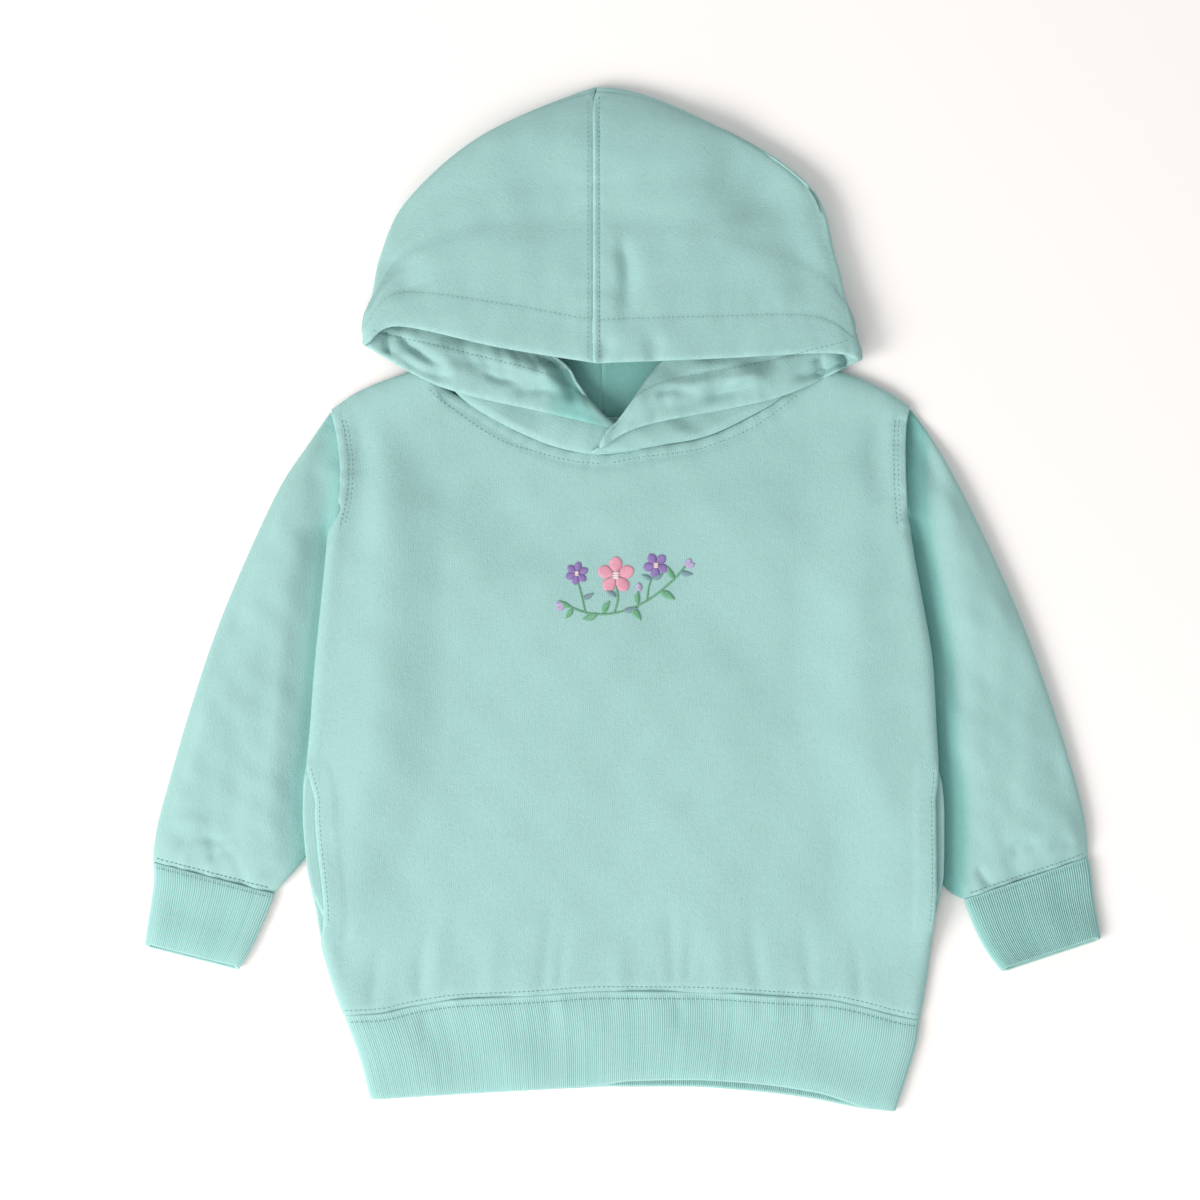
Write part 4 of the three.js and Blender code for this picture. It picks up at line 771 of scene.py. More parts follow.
def sleeve(side):
    rows = SLEEVES[side]
    i = np.linspace(0, 8, 96)
    q = through(rows, i)
    count = 150
    # even steps across, closer at the two edges
    a = np.arange(count) / count * 2 * np.pi
    a = a + 0.28 * np.sin(2 * a)
    c, s = -np.cos(a), np.sin(a)
    p = 0.5 + 0.5 * c
    h = np.sign(s) * np.abs(1 - np.abs(c) ** 2.8) ** (1 / 2.2)
    I, Pp = np.meshgrid(i, p, indexing="ij")
    H = np.broadcast_to(h, I.shape)
    pad = SKIN / 2 / np.hypot(q[:, 2] - q[:, 0], q[:, 3] - q[:, 1])[:, None]
    Pq = pad + (1 - 2 * pad) * Pp
    y = mix(q[:, 1][:, None], q[:, 3][:, None], Pq)
    y_arm = mix(q[0, 1], q[0, 3], Pq)
    bow = (armhole(side, y_arm) - straight_arm(side, y_arm)) * smooth((y_arm - 22) / 20) * np.clip(1 - I / 2, 0, 1)
    # the seam allowance goes in under the body's edge
    tuck = into(side) * 2.2 * smooth((y_arm - 26) / 12) * np.exp(-(I / 0.05) ** 2)
    x = mix(q[:, 0][:, None], q[:, 2][:, None], Pq) + bow + tuck
    inside = into(side) * (x - silhouette(side, y))          # how far under the body
    under = smooth((inside + 16) / 16) * smooth((50 - y) / 12)
    beside = smooth((-inside - 1.0) / (26 if side == "right" else 20))
    tall = mix(mix(4.7 if side == "right" else 6.4, 9.4 + 2.0 * smooth(I / 2.5) * smooth((7.5 - I) / 3.5), beside), SLEEVE_H - 0.1, under * smooth((inside + 6) / 6))
    near_cuff = smooth((I - 7.2) / 0.8)
    tall = mix(tall, 6.6, near_cuff * (1 - under))
    # the armhole end rises to meet the body's seam
    shown = smooth((y - 28) / 10) * np.exp(-(I / (0.95 if side == "right" else 0.62)) ** 2)
    tall = mix(tall, (3.7 if side == "right" else 4.5) + lift(np.full_like(y, armhole(side, 60)), y), shown)
    mid = tall / 2
    half = tall / 2 - SKIN / 2
    upper = H >= 0
    z = np.where(upper, mid + half * H, mid + half * H)
    free = (1 - under) * upper * smooth(Pp / 0.12) * smooth((1 - Pp) / 0.12)
    z = z + free * ((0.85 if side == "left" else 1.1) * folds(SLEEVE_FOLDS[side], x, y) + swell(x, y, 41 if side == "left" else 42, 45, 110, 0.9)
                    + swell(x, y, 43, 14, 34, 0.2))
    seam = curve([(mix(q[-1, 0], q[-1, 2], t), mix(q[-1, 1], q[-1, 3], t)) for t in (0, 0.5, 1)], 2.0)
    z = z + upper * (dip(seam, x, y, 3.2, 1.0) + puckers(seam, x, y, 47 if side == "left" else 48, 6.5, 0.55, 13, 1.2)) * (1 - under)
    z = z + upper * puckers(ARM_PATH[side], x, y, 51, 5.2, 0.34, 9) * smooth((y - 40) / 8) * smooth(I / 0.2)
    # the underside lies flat
    flat = SKIN / 2 + 0.05
    z = np.where(upper, z, np.maximum(flat + 0.0, mix(z, flat, smooth(-H * 3))))
    P = np.stack([x, y, z], 2)
    # painted shade: the cloth beside and under the body is darkened, as less light reaches it
    shaded = (0.68 if side == "right" else 0.2) * smooth((inside + 26) / 26) ** 2.2 * upper
    return shell(f"cloth_sleeve_{side}", P, SKIN, ring=True, material=JERSEY, grain=(50 if side == "left" else 70, 0), painted_shade=shaded)


def ribs(length, shape, seed):
    """Relief of a 1x1 rib across columns that are a quarter of a rib apart."""
    rng = np.random.default_rng(seed)
    n = length
    k = np.arange(n)
    wave_ = np.cos(k * np.pi / 2)
    uneven = np.repeat(rng.uniform(0.82, 1.1, n // 4 + 1), 4)[:n]
    slow = 0.05 * np.sin(k * 2 * np.pi / 37.0) + 0.05 * np.sin(k * 2 * np.pi / 91.0 + 1.0)
    return (0.46 * wave_ * uneven + slow)[None, :] * shape[:, None]


def rib_count(width):
    return 4 * int(round(2 * width / RIB_PITCH))


def cuff(side):
    rows = CUFFS[side]
    steps = np.array([0, 0.08, 0.2, 0.35, 0.55, 0.8, 1.1, 1.45, 1.8, 2.15, 2.5, 2.85, 3.2, 3.5, 3.75, 3.88, 3.96, 4.0])
    q = through(rows, steps)
    widths = np.hypot(q[:, 2] - q[:, 0], q[:, 3] - q[:, 1])
    count = rib_count(widths.mean())
    a = np.arange(count) / count
    # even spacing round the flat loop
    top = count // 2
    p = np.where(np.arange(count) < top, np.arange(count) / top, 1 - (np.arange(count) - top) / (count - top))
    c = 2 * p - 1
    sign = np.where(np.arange(count) < top, 1.0, -1.0)
    h = sign * np.abs(1 - np.abs(c) ** 6) ** 0.5
    bend = 1 - (1 - np.abs(c)) ** 1.0
    t = steps / 4
    tall = 7.4 - 0.6 * np.exp(-(t / 0.08) ** 2) - 0.5 * smooth((t - 0.85) / 0.15)
    pad = RIB / 2 / widths[:, None]
    Pq = pad + (1 - 2 * pad) * np.broadcast_to(p, (len(t), count))
    x = mix(q[:, 0][:, None], q[:, 2][:, None], Pq)
    y = mix(q[:, 1][:, None], q[:, 3][:, None], Pq)
    mid = tall[:, None] / 2
    z = mid + (tall[:, None] / 2 - RIB / 2) * h[None, :]
    up = sign[None, :] > 0
    z = z + up * smooth(Pq / 0.1) * smooth((1 - Pq) / 0.1) * (
        0.5 * np.sin(np.pi * t)[:, None] + swell(x, y, 61 if side == "left" else 62, 20, 60, 0.3))
    # the opening: the front layer's edge stands a little back from the back layer
    along = np.stack([q[-1, 0] - q[-3, 0], q[-1, 1] - q[-3, 1]])
    along = along / np.linalg.norm(along)
    back = np.where(up, -1.4, 0.6) * smooth((t - 0.8) / 0.2)[:, None] * smooth((1 - np.abs(c)) / 0.1)[None, :]
    x, y = x + along[0] * back, y + along[1] * back
    z = np.maximum(z, RIB / 2 + 0.05)
    shape = smooth(t / 0.03) * smooth((1.012 - t) / 0.03)
    relief = ribs(count, shape, 63 if side == "left" else 64)
    P = np.stack([x, y, z], 2)
    thick = RIB - 0.5
    return shell(f"rib_cuff_{side}", P, thick, ring=True, relief=(relief, relief * 0.6), material=JERSEY_RIB,
                 grain=(90 if side == "left" else 100, 0))


BAND_FOLDS = [
    ([(419, 1004), (424, 1030), (426, 1060)], 4.0, -0.7, 0.2, 0, 0.7),
    ([(548, 996), (550, 1030)], 4.5, -0.7, 0.2, 0, 0.7),
    ([(677, 996), (682, 1040)], 4.5, -0.8, 0.2, 0, 0.7),
    ([(762, 998), (760, 1030)], 4.5, -0.7, 0.2, 0, 0.7),
    ([(812, 1002), (812, 1040)], 4.5, -0.7, 0.2, 0, 0.7),
    ([(480, 1070), (540, 1060), (600, 1072)], 12.0, 0.5, 0.2, 0.3, 0.3),
]


def waistband():
    t = np.array([0, 0.02, 0.05, 0.09, 0.14, 0.2, 0.3, 0.4, 0.5, 0.6, 0.7, 0.8, 0.88, 0.93, 0.965, 0.985, 1.0])
    left, right = band_left(t), band_right(t)
    width = float((right - left).mean())
    count = rib_count(width)
    top = count // 2
    k = np.arange(count)
    p = np.where(k < top, k / top, 1 - (k - top) / (count - top))
    c = 2 * p - 1
    sign = np.where(k < top, 1.0, -1.0)
    h = sign * np.sqrt(np.clip(1 - np.abs(c) ** 24, 0, 1))
    pad = RIB / 2 / (right - left)[:, None]
    Pq = pad + (1 - 2 * pad) * np.broadcast_to(p, (len(t), count))
    x = mix(left[:, None], right[:, None], Pq)
    x_top, x_low = mix(-153.2, 163.6, p), mix(-138.9, 150.4, p)
    low = band_low(x_low) - np.where(sign < 0, 1, 0) * band_back(x_low) * np.sqrt(np.clip(1 - np.abs(c) ** 24, 0, 1))
    y = mix((hem(x_top) - GAP)[None, :], low[None, :], t[:, None])
    tall = BAND_H + 0.4 - 0.7 * np.exp(-(t / 0.07) ** 2) - 0.9 * smooth((t - 0.9) / 0.1)
    z = tall[:, None] / 2 + (tall[:, None] / 2 - RIB / 2) * h[None, :]
    up = (sign > 0)[None, :]
    z = z + up * (1.2 * folds(BAND_FOLDS, x, y) * mix(0.12, 1.0, smooth((hem(x) - y) / 10)) + swell(x, y, 71, 40, 110, 0.6) + puckers(HEM_PATH, x, y, 24, 9.0, 0.3, 12, 1.2)) * smooth(Pq / 0.03) * smooth((1 - Pq) / 0.03)
    z = z + up * dip(HEM_PATH + np.array([0, -3.9]), x, y, 1.4, 0.25)
    z = np.maximum(z, RIB / 2 + 0.05)
    shape = smooth(t / 0.03) * smooth((1.012 - t) / 0.03)
    relief = ribs(count, shape, 73)
    return shell("rib_waistband", np.stack([x, y, z], 2), RIB - 0.5, ring=True, relief=(relief, relief * 0.5),
                 material=JERSEY_RIB, grain=(0, 60))


# ------------------------------------------------------------------ hood
CROWN_FOLDS = [
    ([(612, 228), (626, 262), (630, 300), (622, 336)], 6.0, -1.5, -0.5, 0.3, 0.4),
    ([(613, 225), (617, 262), (618, 300)], 4.0, 0.8, 0.0, 0.3, 0.4),
    ([(686, 146), (734, 168), (764, 208), (768, 256)], 22.0, -3.1, 0.2, 0.4, 0.4),
    ([(690, 120), (730, 150), (770, 205)], 16.0, 1.0, 0.0, 0.4, 0.4),
    ([(400, 250), (404, 280), (412, 304)], 12.0, -1.3, 0.2, 0.4, 0.3),
    ([(440, 200), (455, 255), (450, 300)], 16.0, 0.3, 0.2, 0.4, 0.4),
    ([(604, 362), (607, 348), (610, 334)], 4.0, -0.9, 0.0, 0.0, 0.6),
    ([(654, 360), (654, 344), (660, 330)], 5.0, -0.9, 0.0, 0.0, 0.6),
    ([(520, 150), (545, 210), (540, 280)], 18.0, -0.8, 0.2, 0.4, 0.4),
    ([(780, 230), (800, 270), (806, 310)], 12.0, -0.8, 0.2, 0.4, 0.4),
]
FLAP_FOLDS = [
    ([(388, 328), (387, 342), (389, 357)], 2.6, -1.0, 0.3, 0.2, 0.2),
    ([(396, 332), (411, 348), (430, 361), (452, 369)], 3.0, -1.1, 0.3, 0.2, 0.4),
    ([(404, 350), (420, 363), (440, 374)], 3.0, 0.6, 0.0, 0.3, 0.4),
    ([(480, 372), (498, 380), (520, 383)], 2.6, -0.7, 0.2, 0.3, 0.3),
    ([(500, 360), (530, 372), (556, 380)], 5.0, 0.6, 0.2, 0.3, 0.3),
    ([(640, 420), (680, 404), (740, 392)], 6.0, -0.8, 0.3, 0.3, 0.4),
    ([(690, 384), (740, 376), (800, 366)], 5.0, 0.7, 0.2, 0.3, 0.4),
    ([(790, 380), (820, 372), (842, 362)], 3.0, -0.9, 0.2, 0.3, 0.2),
    ([(812, 392), (832, 378), (846, 364)], 3.0, 0.6, 0.0, 0.3, 0.2),
    ([(399, 359), (428, 372), (458, 381)], 4.0, -1.0, 0.3, 0.3, 0.4),
    ([(510, 394), (535, 390), (560, 392)], 3.5, -0.7, 0.2, 0.3, 0.4),
    ([(700, 402), (730, 392), (758, 385)], 4.0, -0.9, 0.3, 0.3, 0.4),
    ([(816, 354), (820, 368), (824, 382)], 3.0, -1.1, 0.2, 0.2, 0.3),
    ([(660, 400), (690, 389), (720, 384)], 5.0, 0.6, 0.0, 0.3, 0.4),
    ([(668, 388), (700, 378), (742, 372)], 4.0, -0.7, 0.2, 0.3, 0.4),
    ([(440, 352), (480, 366), (530, 374)], 6.0, -0.7, 0.2, 0.3, 0.4),
    ([(556, 366), (566, 384), (584, 404)], 6.0, -1.5, 0.3, 0.3, 0.3),
    ([(546, 360), (552, 378), (566, 396)], 4.0, 0.8, 0.0, 0.3, 0.3),
    ([(838, 352), (845, 359), (843, 371)], 2.4, -1.5, 0.2, 0.2, 0.2),
    ([(652, 398), (672, 392), (700, 396)], 3.0, -0.8, 0.2, 0.3, 0.3),
    ([(720, 390), (744, 380), (770, 378)], 3.0, 0.7, 0.0, 0.3, 0.3),
]
STAND_FOLDS = [
    ([(500, 402), (525, 412), (550, 426)], 5.0, -1.7, 0.3, 0.3, 0.3),
    ([(452, 398), (500, 426), (560, 447)], 5.0, 0.7, 0.0, 0.3, 0.3),
    ([(668, 428), (696, 422), (732, 410)], 6.0, -1.9, 0.3, 0.3, 0.3),
    ([(640, 444), (690, 434), (745, 412)], 5.0, 0.6, 0.0, 0.3, 0.3),
    ([(760, 404), (784, 398), (806, 390)], 4.0, -0.8, 0.2, 0.3, 0.3),
]
HOOD_STEPS = [4, 4, 3, 3, 3, 4, 14, 26, 20, 4, 4, 4, 4, 9, 26, 26]       # parts between the 17 points of a line


def hood_controls(side, p):
    """The 17 points of each line of a hood half, at the lines p."""
    plan, tall = through(HOOD[side], p), through(HOOD_Z[side], p)
    n, r, f, g, s, c, d, k = (plan[:, 2 * a:2 * a + 2] for a in range(8))
    zn, za, zb, zf, zg, zs, zt, zc, zd, zk = tall.T

    def toward(a, b, dist):
        v = b - a
        return a + v / np.maximum(np.linalg.norm(v, axis=1, keepdims=True), 1e-6) * dist[:, None]

    roll_size, fold_size = np.maximum(1.6, (zb - za) / 2), np.maximum(1.6, (zt - zs) / 2)
    rn = toward(r, n, roll_size)
    rows = [
        (n, zn), (n + (rn - n) * 0.55, mix(zn, za, 0.6)), (rn, za),
        (toward(r, n, roll_size * 0.3), mix(za, zb, 0.15)), (r, mix(za, zb, 0.5)),
        (toward(r, f, roll_size * 0.3), mix(za, zb, 0.85)), (toward(r, f, roll_size), zb), (f, zf), (g, zg),
        (toward(s, g, fold_size), zs), (toward(s, g, fold_size * 0.3), mix(zs, zt, 0.15)), (s, mix(zs, zt, 0.5)),
        (toward(s, c, fold_size * 0.3), mix(zs, zt, 0.85)), (toward(s, c, fold_size), zt), (c, zc), (d, zd), (k, zk)]
    return np.stack([np.concatenate([xy, z[:, None]], 1) for xy, z in rows])     # 17, lines, 3


def hood_places():
    q = [0.0]
    for a, n in enumerate(HOOD_STEPS):
        q += [a + (b + 1) / n for b in range(n)]
    q = np.array(q)
    p = np.concatenate([[0, 0.04, 0.1, 0.18], np.linspace(0.28, 1.6, 12), np.linspace(1.7, 2.3, 9), np.linspace(2.42, 10, 66)])
    return p, q


HOOD_Q, HOOD_P = hood_places()[1], hood_places()[0]


def hood_half(side):
    p, q = HOOD_P, HOOD_Q
    lines = hood_controls(side, p)
    P = through(lines, q).transpose(1, 0, 2)              # rows p, columns q
    P[..., 2] = np.maximum(P[..., 2], SKIN / 2 + 0.03)
    x, y = P[..., 0].copy(), P[..., 1].copy()
    Q, Pp = np.meshgrid(q, p)
    crown = smooth((Q - 12.0) / 1.2)
    flap = smooth((Q - 5.0) / 1.0) * smooth((9.6 - Q) / 0.8) * smooth((5.2 - Pp) / 1.2)
    top = crown * smooth((10.4 - Pp) / 2.5)
    z = P[..., 2]
    z += top * (2.3 * folds(CROWN_FOLDS, x, y) + swell(x, y, 86, 60, 140, 0.55) + swell(x, y, 82, 16, 40, 0.2))
    z += flap * (3.3 * folds(FLAP_FOLDS, x, y) + swell(x, y, 83, 16, 40, 0.6) + swell(x, y, 87, 7, 16, 0.12))
    z -= 2.4 * smooth((Q - 5.0) / 1.0) * smooth((9.6 - Q) / 0.8) * smooth((Pp - 1.9) / 1.4) * smooth((5.6 - Pp) / 1.2)
    # the turned-out edge stands up about the opening
    start = 4.6 if side == "left" else 2.2
    z += (3.6 if side == "left" else 2.8) * smooth((Q - start) / 1.8) * smooth((9.0 - Q) / 1.8) * smooth((3.4 - Pp) / 2.4)
    z += 3.0 * smooth((Q - 10.0) / 2.2) * smooth((10.0 - Pp) / 2.5)
    # the face edge of the crown stands highest
    z += 2.2 * crown * (1 - smooth(Pp / 3.8))
    # the turned hem along the face edge: a double layer, held down at its stitch row
    hemmed = smooth((2.15 - Pp) / 0.3)
    sew = np.exp(-((Pp - 2.0) / 0.13) ** 2)
    z += (top + flap) * (0.16 * hemmed - (0.2 - 0.12 * crown) * sew)
    # round the face edge over
    z -= (top + flap) * 1.1 * (1 - roll(Pp * 9 + 0.3, 4.0))
    # ripples that the hem's stitching draws up
    rng = np.random.default_rng(84 if side == "left" else 85)
    knots = np.cumsum(rng.uniform(0.5, 1.6, 60))
    along = np.concatenate([[0], np.cumsum(np.hypot(*np.diff(P[26, :, :2], axis=0).T))])
    phase = np.interp(along / along[-1], (knots - knots[0]) / (knots[-1] - knots[0]), np.arange(60) * np.pi)
    z += (0.1 * top + 0.24 * flap) * np.sin(phase)[None, :] * np.exp(-((Pp - 2.0) / 0.85) ** 2)
    z += (top + flap) * 0.20 * np.sin(phase * 0.63 + 1.0)[None, :] * np.exp(-(Pp / 0.7) ** 2)
    # centre seam: the right half turns up over the left one, with its stitch row in a groove
    to_seam = np.abs(x + 16.0)
    if side == "left":
        z -= top * 0.9 * np.exp(-(to_seam / 1.7) ** 2)
    else:
        z += top * (0.9 * np.exp(-((to_seam - 1.0) / 1.1) ** 2) - 0.5 * np.exp(-((to_seam - 2.9) / 0.9) ** 2))
    z += top * 0.22 * np.exp(-(to_seam / 9) ** 2) * np.sin(y / 2.3 + 1.5 * np.sin(y / 9.0))
    # neck stand: a little fullness gathered into the seam
    stand = smooth((2.0 - Q) / 2.0) * smooth((6.5 - Pp) / 1.0)
    z += stand * 0.25 * np.sin(Pp * 7.5 + 0.8 * np.sin(Pp * 2.1))
    z += 1.9 * folds(STAND_FOLDS, x, y) * smooth(Q / 0.6) * smooth((3.2 - Q) / 0.8) * smooth((6.5 - Pp) / 1.0)
    z -= 1.0 * np.exp(-(Q / 0.3) ** 2) * smooth((6.5 - Pp) / 1.0)
    P[..., 2] = np.maximum(z, SKIN / 2 + 0.03)
    thick = SKIN + 0.5 * smooth((2.2 - Pp) / 0.35) * smooth(Pp / 0.1 + 0.55)
    # painted shade: the hood's inner back, seen down the opening, is darkened
    inside = 0.32 * smooth((Pp - 7.0) / 1.5) * smooth((6.5 - Q) / 3.0)
    # and painted shade under the turned-out edge
    inside = np.maximum(inside, (0.6 if side == "right" else 0.25) * smooth((Q - 1.0) / 1.4) * smooth((3.9 - Q) / 0.6) * smooth((7.0 - Pp) / 1.5))
    # and painted shade where the left half goes down under the right one
    if side == "left":
        inside = np.maximum(inside, 0.55 * smooth((Q - 5.2) / 2.2) ** 1.6 * smooth((x + 54) / 34) ** 1.4 * smooth((9.6 - Q) / 0.6) * smooth((6.4 - Pp) / 1.2))
    return shell(f"cloth_hood_{side}", P, thick, material=JERSEY, grain=(20 if side == "left" else 40, 80), painted_shade=inside)


# ------------------------------------------------------------------ pockets
def pocket(side):
    ys = np.linspace(-182, -93, 46)
    edge, depth = silhouette(side, ys), table(POCKET[:, 0], POCKET[:, 1])(ys)
    strip, back = table(POCKET[:, 0], POCKET[:, 2])(ys), set_back[side](ys)
    low = CLOTH + 2 * GAP + POCKET_WALL / 2
    profile = [(mix(9, 0.9, strip), low + 0.1), (mix(9.4, 0.5, strip), low + 0.9), (mix(10, 1.1, strip), low + 1.5),
               (mix(11, 3.0, strip), low + 1.6), (13 + back * 0.4, low + 0.6), (22 + 0 * ys, low), (depth * 0.6, low),
               (depth - 1.2, low), (depth - 0.3, low + 0.6), (depth - 1.2, low + 1.2), (depth * 0.6, low + 1.2),
               (24 + 0 * ys, low + 1.3), (14 + back * 0.6, low + 1.6)]
    D = np.stack([a for a, _ in profile])
    Z = np.stack([b + 0 * ys for _, b in profile])
    q = np.linspace(0, 12, 61)
    D, Z = through(D, q).T, through(Z, q).T               # rows y, columns q
    x = edge[:, None] + into(side) * D
    y = np.broadcast_to(ys[:, None], x.shape)
    z = Z + lift(x, y) + 0.12 * np.sin(y / 5.0) * smooth((6 - D) / 4)
    return shell(f"cloth_pocket_{side}", np.stack([x, y, z], 2), POCKET_WALL, material=POCKETING,
                 grain=(110 if side == "left" else 120, 0))


# ------------------------------------------------------------------ stitches
class Stitches:
    """Many short threads sewn along lines, joined in one mesh."""

    def __init__(self, name, material):
        self.name, self.material, self.v, self.f, self.uv, self.n = name, material, [], [], [], 0

    def one(self, a, b, normal, radius=0.27, sink=0.2):
        a, b, normal = (np.asarray(v, float) for v in (a, b, normal))
        along = b - a
        length = np.linalg.norm(along)
        if length < 1e-6:
            return
        along = along / length
        across = np.cross(normal, along)
        across /= max(np.linalg.norm(across), 1e-9)
        up = np.cross(along, across)
        rings, sides = [(0.0, 0.35, -sink), (0.14, 0.85, 0.0), (0.5, 1.05, 0.12), (0.86, 0.85, 0.0), (1.0, 0.35, -sink)], 6
        base = self.n
        for t, r, rise in rings:
            c = a + along * length * t + up * rise
            for k in range(sides):
                w = 2 * np.pi * k / sides
                self.v.append(c + (across * math.cos(w) + up * math.sin(w)) * radius * r)
        self.n += len(rings) * sides
        for i in range(len(rings) - 1):
            for k in range(sides):
                k2 = (k + 1) % sides
                self.f.append((base + i * sides + k, base + i * sides + k2, base + (i + 1) * sides + k2, base + (i + 1) * sides + k))
                u0, u1 = length * rings[i][0] * 0.1, length * rings[i + 1][0] * 0.1
                self.uv += [(u0, k / 60), (u0, (k + 1) / 60), (u1, (k + 1) / 60), (u1, k / 60)]
        self.f.append(tuple(base + k for k in range(sides))[::-1])
        self.uv += [(0, 0)] * sides
        self.f.append(tuple(base + (len(rings) - 1) * sides + k for k in range(sides)))
        self.uv += [(0.2, 0)] * sides

    def row(self, path, pieces, pitch=2.7, length=1.75, radius=0.2, below=False, rise=0.02, seed=1, skew=0.0):
        rng = np.random.default_rng(seed)
        fine = curve(path, 0.5) if len(path) > 2 else curve(path, 0.5)
        along = np.concatenate([[0], np.cumsum(np.linalg.norm(np.diff(fine, axis=0), axis=1))])
        s = 0.4
        while s + length < along[-1]:
            ends = []
            for w in (s, s + length):
                x, y = (np.interp(w, along, fine[:, k]) for k in (0, 1))
                x, y = x + rng.normal(0, 0.05), y + rng.normal(0, 0.05)
                ends.append((x, y))
            if skew:
                t = np.array(ends[1]) - np.array(ends[0])
                nrm = np.array([-t[1], t[0]]) / max(np.hypot(*t), 1e-9) * skew
                ends = [tuple(np.array(ends[0]) - nrm / 2), tuple(np.array(ends[1]) + nrm / 2)]
            hits = [surface(pieces, x, y, below) for x, y in ends]
            if all(h is not None for h in hits) and abs(hits[0][0] - hits[1][0]) < 1.6:
                n = np.array(hits[0][1]) + np.array(hits[1][1])
                n = n if (n[2] < 0) == below else -n
                n = n / max(np.linalg.norm(n), 1e-9)
                heights = [h[0] + rise * (-1 if below else 1) for h in hits]
                if below:                                     # clear of what the garment lies on
                    heights = [max(h, 1.05 * radius + 0.13) for h in heights]
                self.one((*ends[0], heights[0]), (*ends[1], heights[1]), n, radius)
            s += pitch * rng.uniform(0.94, 1.06)

    def make(self):
        if not self.v:
            return None
        return mesh_object(self.name, to_scene(np.array(self.v)), self.f, np.array(self.uv), self.material)


def offset(path, dist):
    """The path moved sideways: to its left for dist above 0."""
    t = np.gradient(path, axis=0)
    t /= np.maximum(np.linalg.norm(t, axis=1, keepdims=True), 1e-9)
    return path + np.stack([-t[:, 1], t[:, 0]], 1) * dist


def frame_line(points):
    return curve([at(*q) for q in points], 2.0)


# ------------------------------------------------------------------ make the garment
back_panel()
for which in ("left", "right"):
    sleeve(which)
    cuff(which)
    pocket(which)
front_panel()
waistband()
for which in ("left", "right"):
    hood_half(which)

body = Stitches("stitches_body", SEWING)
for s in ("left", "right"):
    inward = 1 if s == "left" else -1
    for dist, seed in ((4.6, 1), (6.9, 2)):
        line = np.stack([ARM_PATH[s][:, 0] + inward * dist, ARM_PATH[s][:, 1]], 1)
        line = line[(line[:, 1] < 101) & (line[:, 1] > 38)]
        body.row(line, ["cloth_front"], seed=seed)
        body.row(line, ["cloth_back"], seed=seed + 10, below=True)
body.row(frame_line([(429, 389), (440, 400), (454, 410), (472, 423), (494, 437), (511, 445), (533, 451), (554, 457), (579, 462), (604, 464)]),
         ["cloth_front"], seed=3)
body.row(frame_line([(612, 463), (638, 457.6), (665, 454.5), (695, 450), (723, 441), (752, 428), (776, 412), (797, 395)]), ["cloth_front"], seed=4)
body.row(offset(HEM_PATH, 2.6), ["cloth_front"], pitch=2.6, length=1.8, seed=5, radius=0.25, rise=0.08)
body.row(offset(HEM_PATH, 2.6), ["cloth_back"], pitch=2.6, length=1.9, seed=6, below=True)
for s in ("left", "right"):
    ys = np.linspace(-177, -90, 40)
    line = np.stack([silhouette(s, ys) + into(s) * (set_back[s](ys) + 2.0), ys], 1)
    body.row(line, ["cloth_front"], pitch=2.6, length=1.7, radius=0.18, seed=7)
body.make()

rib_rows = Stitches("stitches_rib", SEWING)
rib_rows.row(offset(HEM_PATH, -3.9), ["rib_waistband"], pitch=2.6, length=1.9, seed=8, rise=0.2)
rib_rows.row(offset(HEM_PATH, -3.9), ["rib_waistband"], pitch=2.6, length=1.9, seed=9, below=True, rise=0.2)
for s in ("left", "right"):
    q = CUFFS[s][0]
    a, b = np.array(q[:2]), np.array(q[2:])
    down = CUFFS[s][1][:2] - a
    down = down / np.linalg.norm(down)
    line = curve([a + (b - a) * 0.03, (a + b) / 2, b - (b - a) * 0.03], 2.0)
    rib_rows.row(line + down * 2.2, [f"rib_cuff_{s}"], pitch=2.6, length=1.9, seed=10, radius=0.17, rise=0.1)
    rib_rows.row(line + down * 2.2, [f"rib_cuff_{s}"], pitch=2.6, length=1.9, seed=11, rise=0.2, below=True)
    rib_rows.row(line - down * 3.0, [f"cloth_sleeve_{s}"], pitch=2.6, length=1.8, seed=12, radius=0.27, rise=0.26)
    rib_rows.row(line - down * 3.0, [f"cloth_sleeve_{s}"], pitch=2.6, length=1.9, seed=13, below=True)
rib_rows.make()

hood_rows = Stitches("stitches_hood", SEWING)
for s in ("left", "right"):
    half = [f"cloth_hood_{s}"]
    crown_q, flap_q = np.linspace(13.2, 15.95, 60), np.linspace(6.6, 8.95, 50)
    line = through(hood_controls(s, np.array([2.0]))[:, 0, :2], crown_q)
    hood_rows.row(line, half, seed=14, radius=0.15 if s == "left" else 0.18, rise=-0.03)
    line = through(hood_controls(s, np.array([2.0]))[:, 0, :2], flap_q)
    hood_rows.row(line, half, seed=15)
seam_line = np.stack([np.full(70, -15.8), np.linspace(131.5, 276.0, 70)], 1)
hood_rows.row(seam_line + np.array([2.9, 0]), ["cloth_hood_right"], seed=16, radius=0.25)
hood_rows.row(seam_line - np.array([3.2, 0]), ["cloth_hood_left"], seed=17, radius=0.16, rise=-0.03)
hood_rows.make()

# ------------------------------------------------------------------ embroidered spray on the chest
PINK, PURPLE, GREEN, SMOKE, LILAC, BLUSH = (linear(c) for c in (
    (236, 164, 186), (146, 120, 186), (112, 178, 138), (126, 158, 168), (190, 172, 214), (250, 226, 228)))


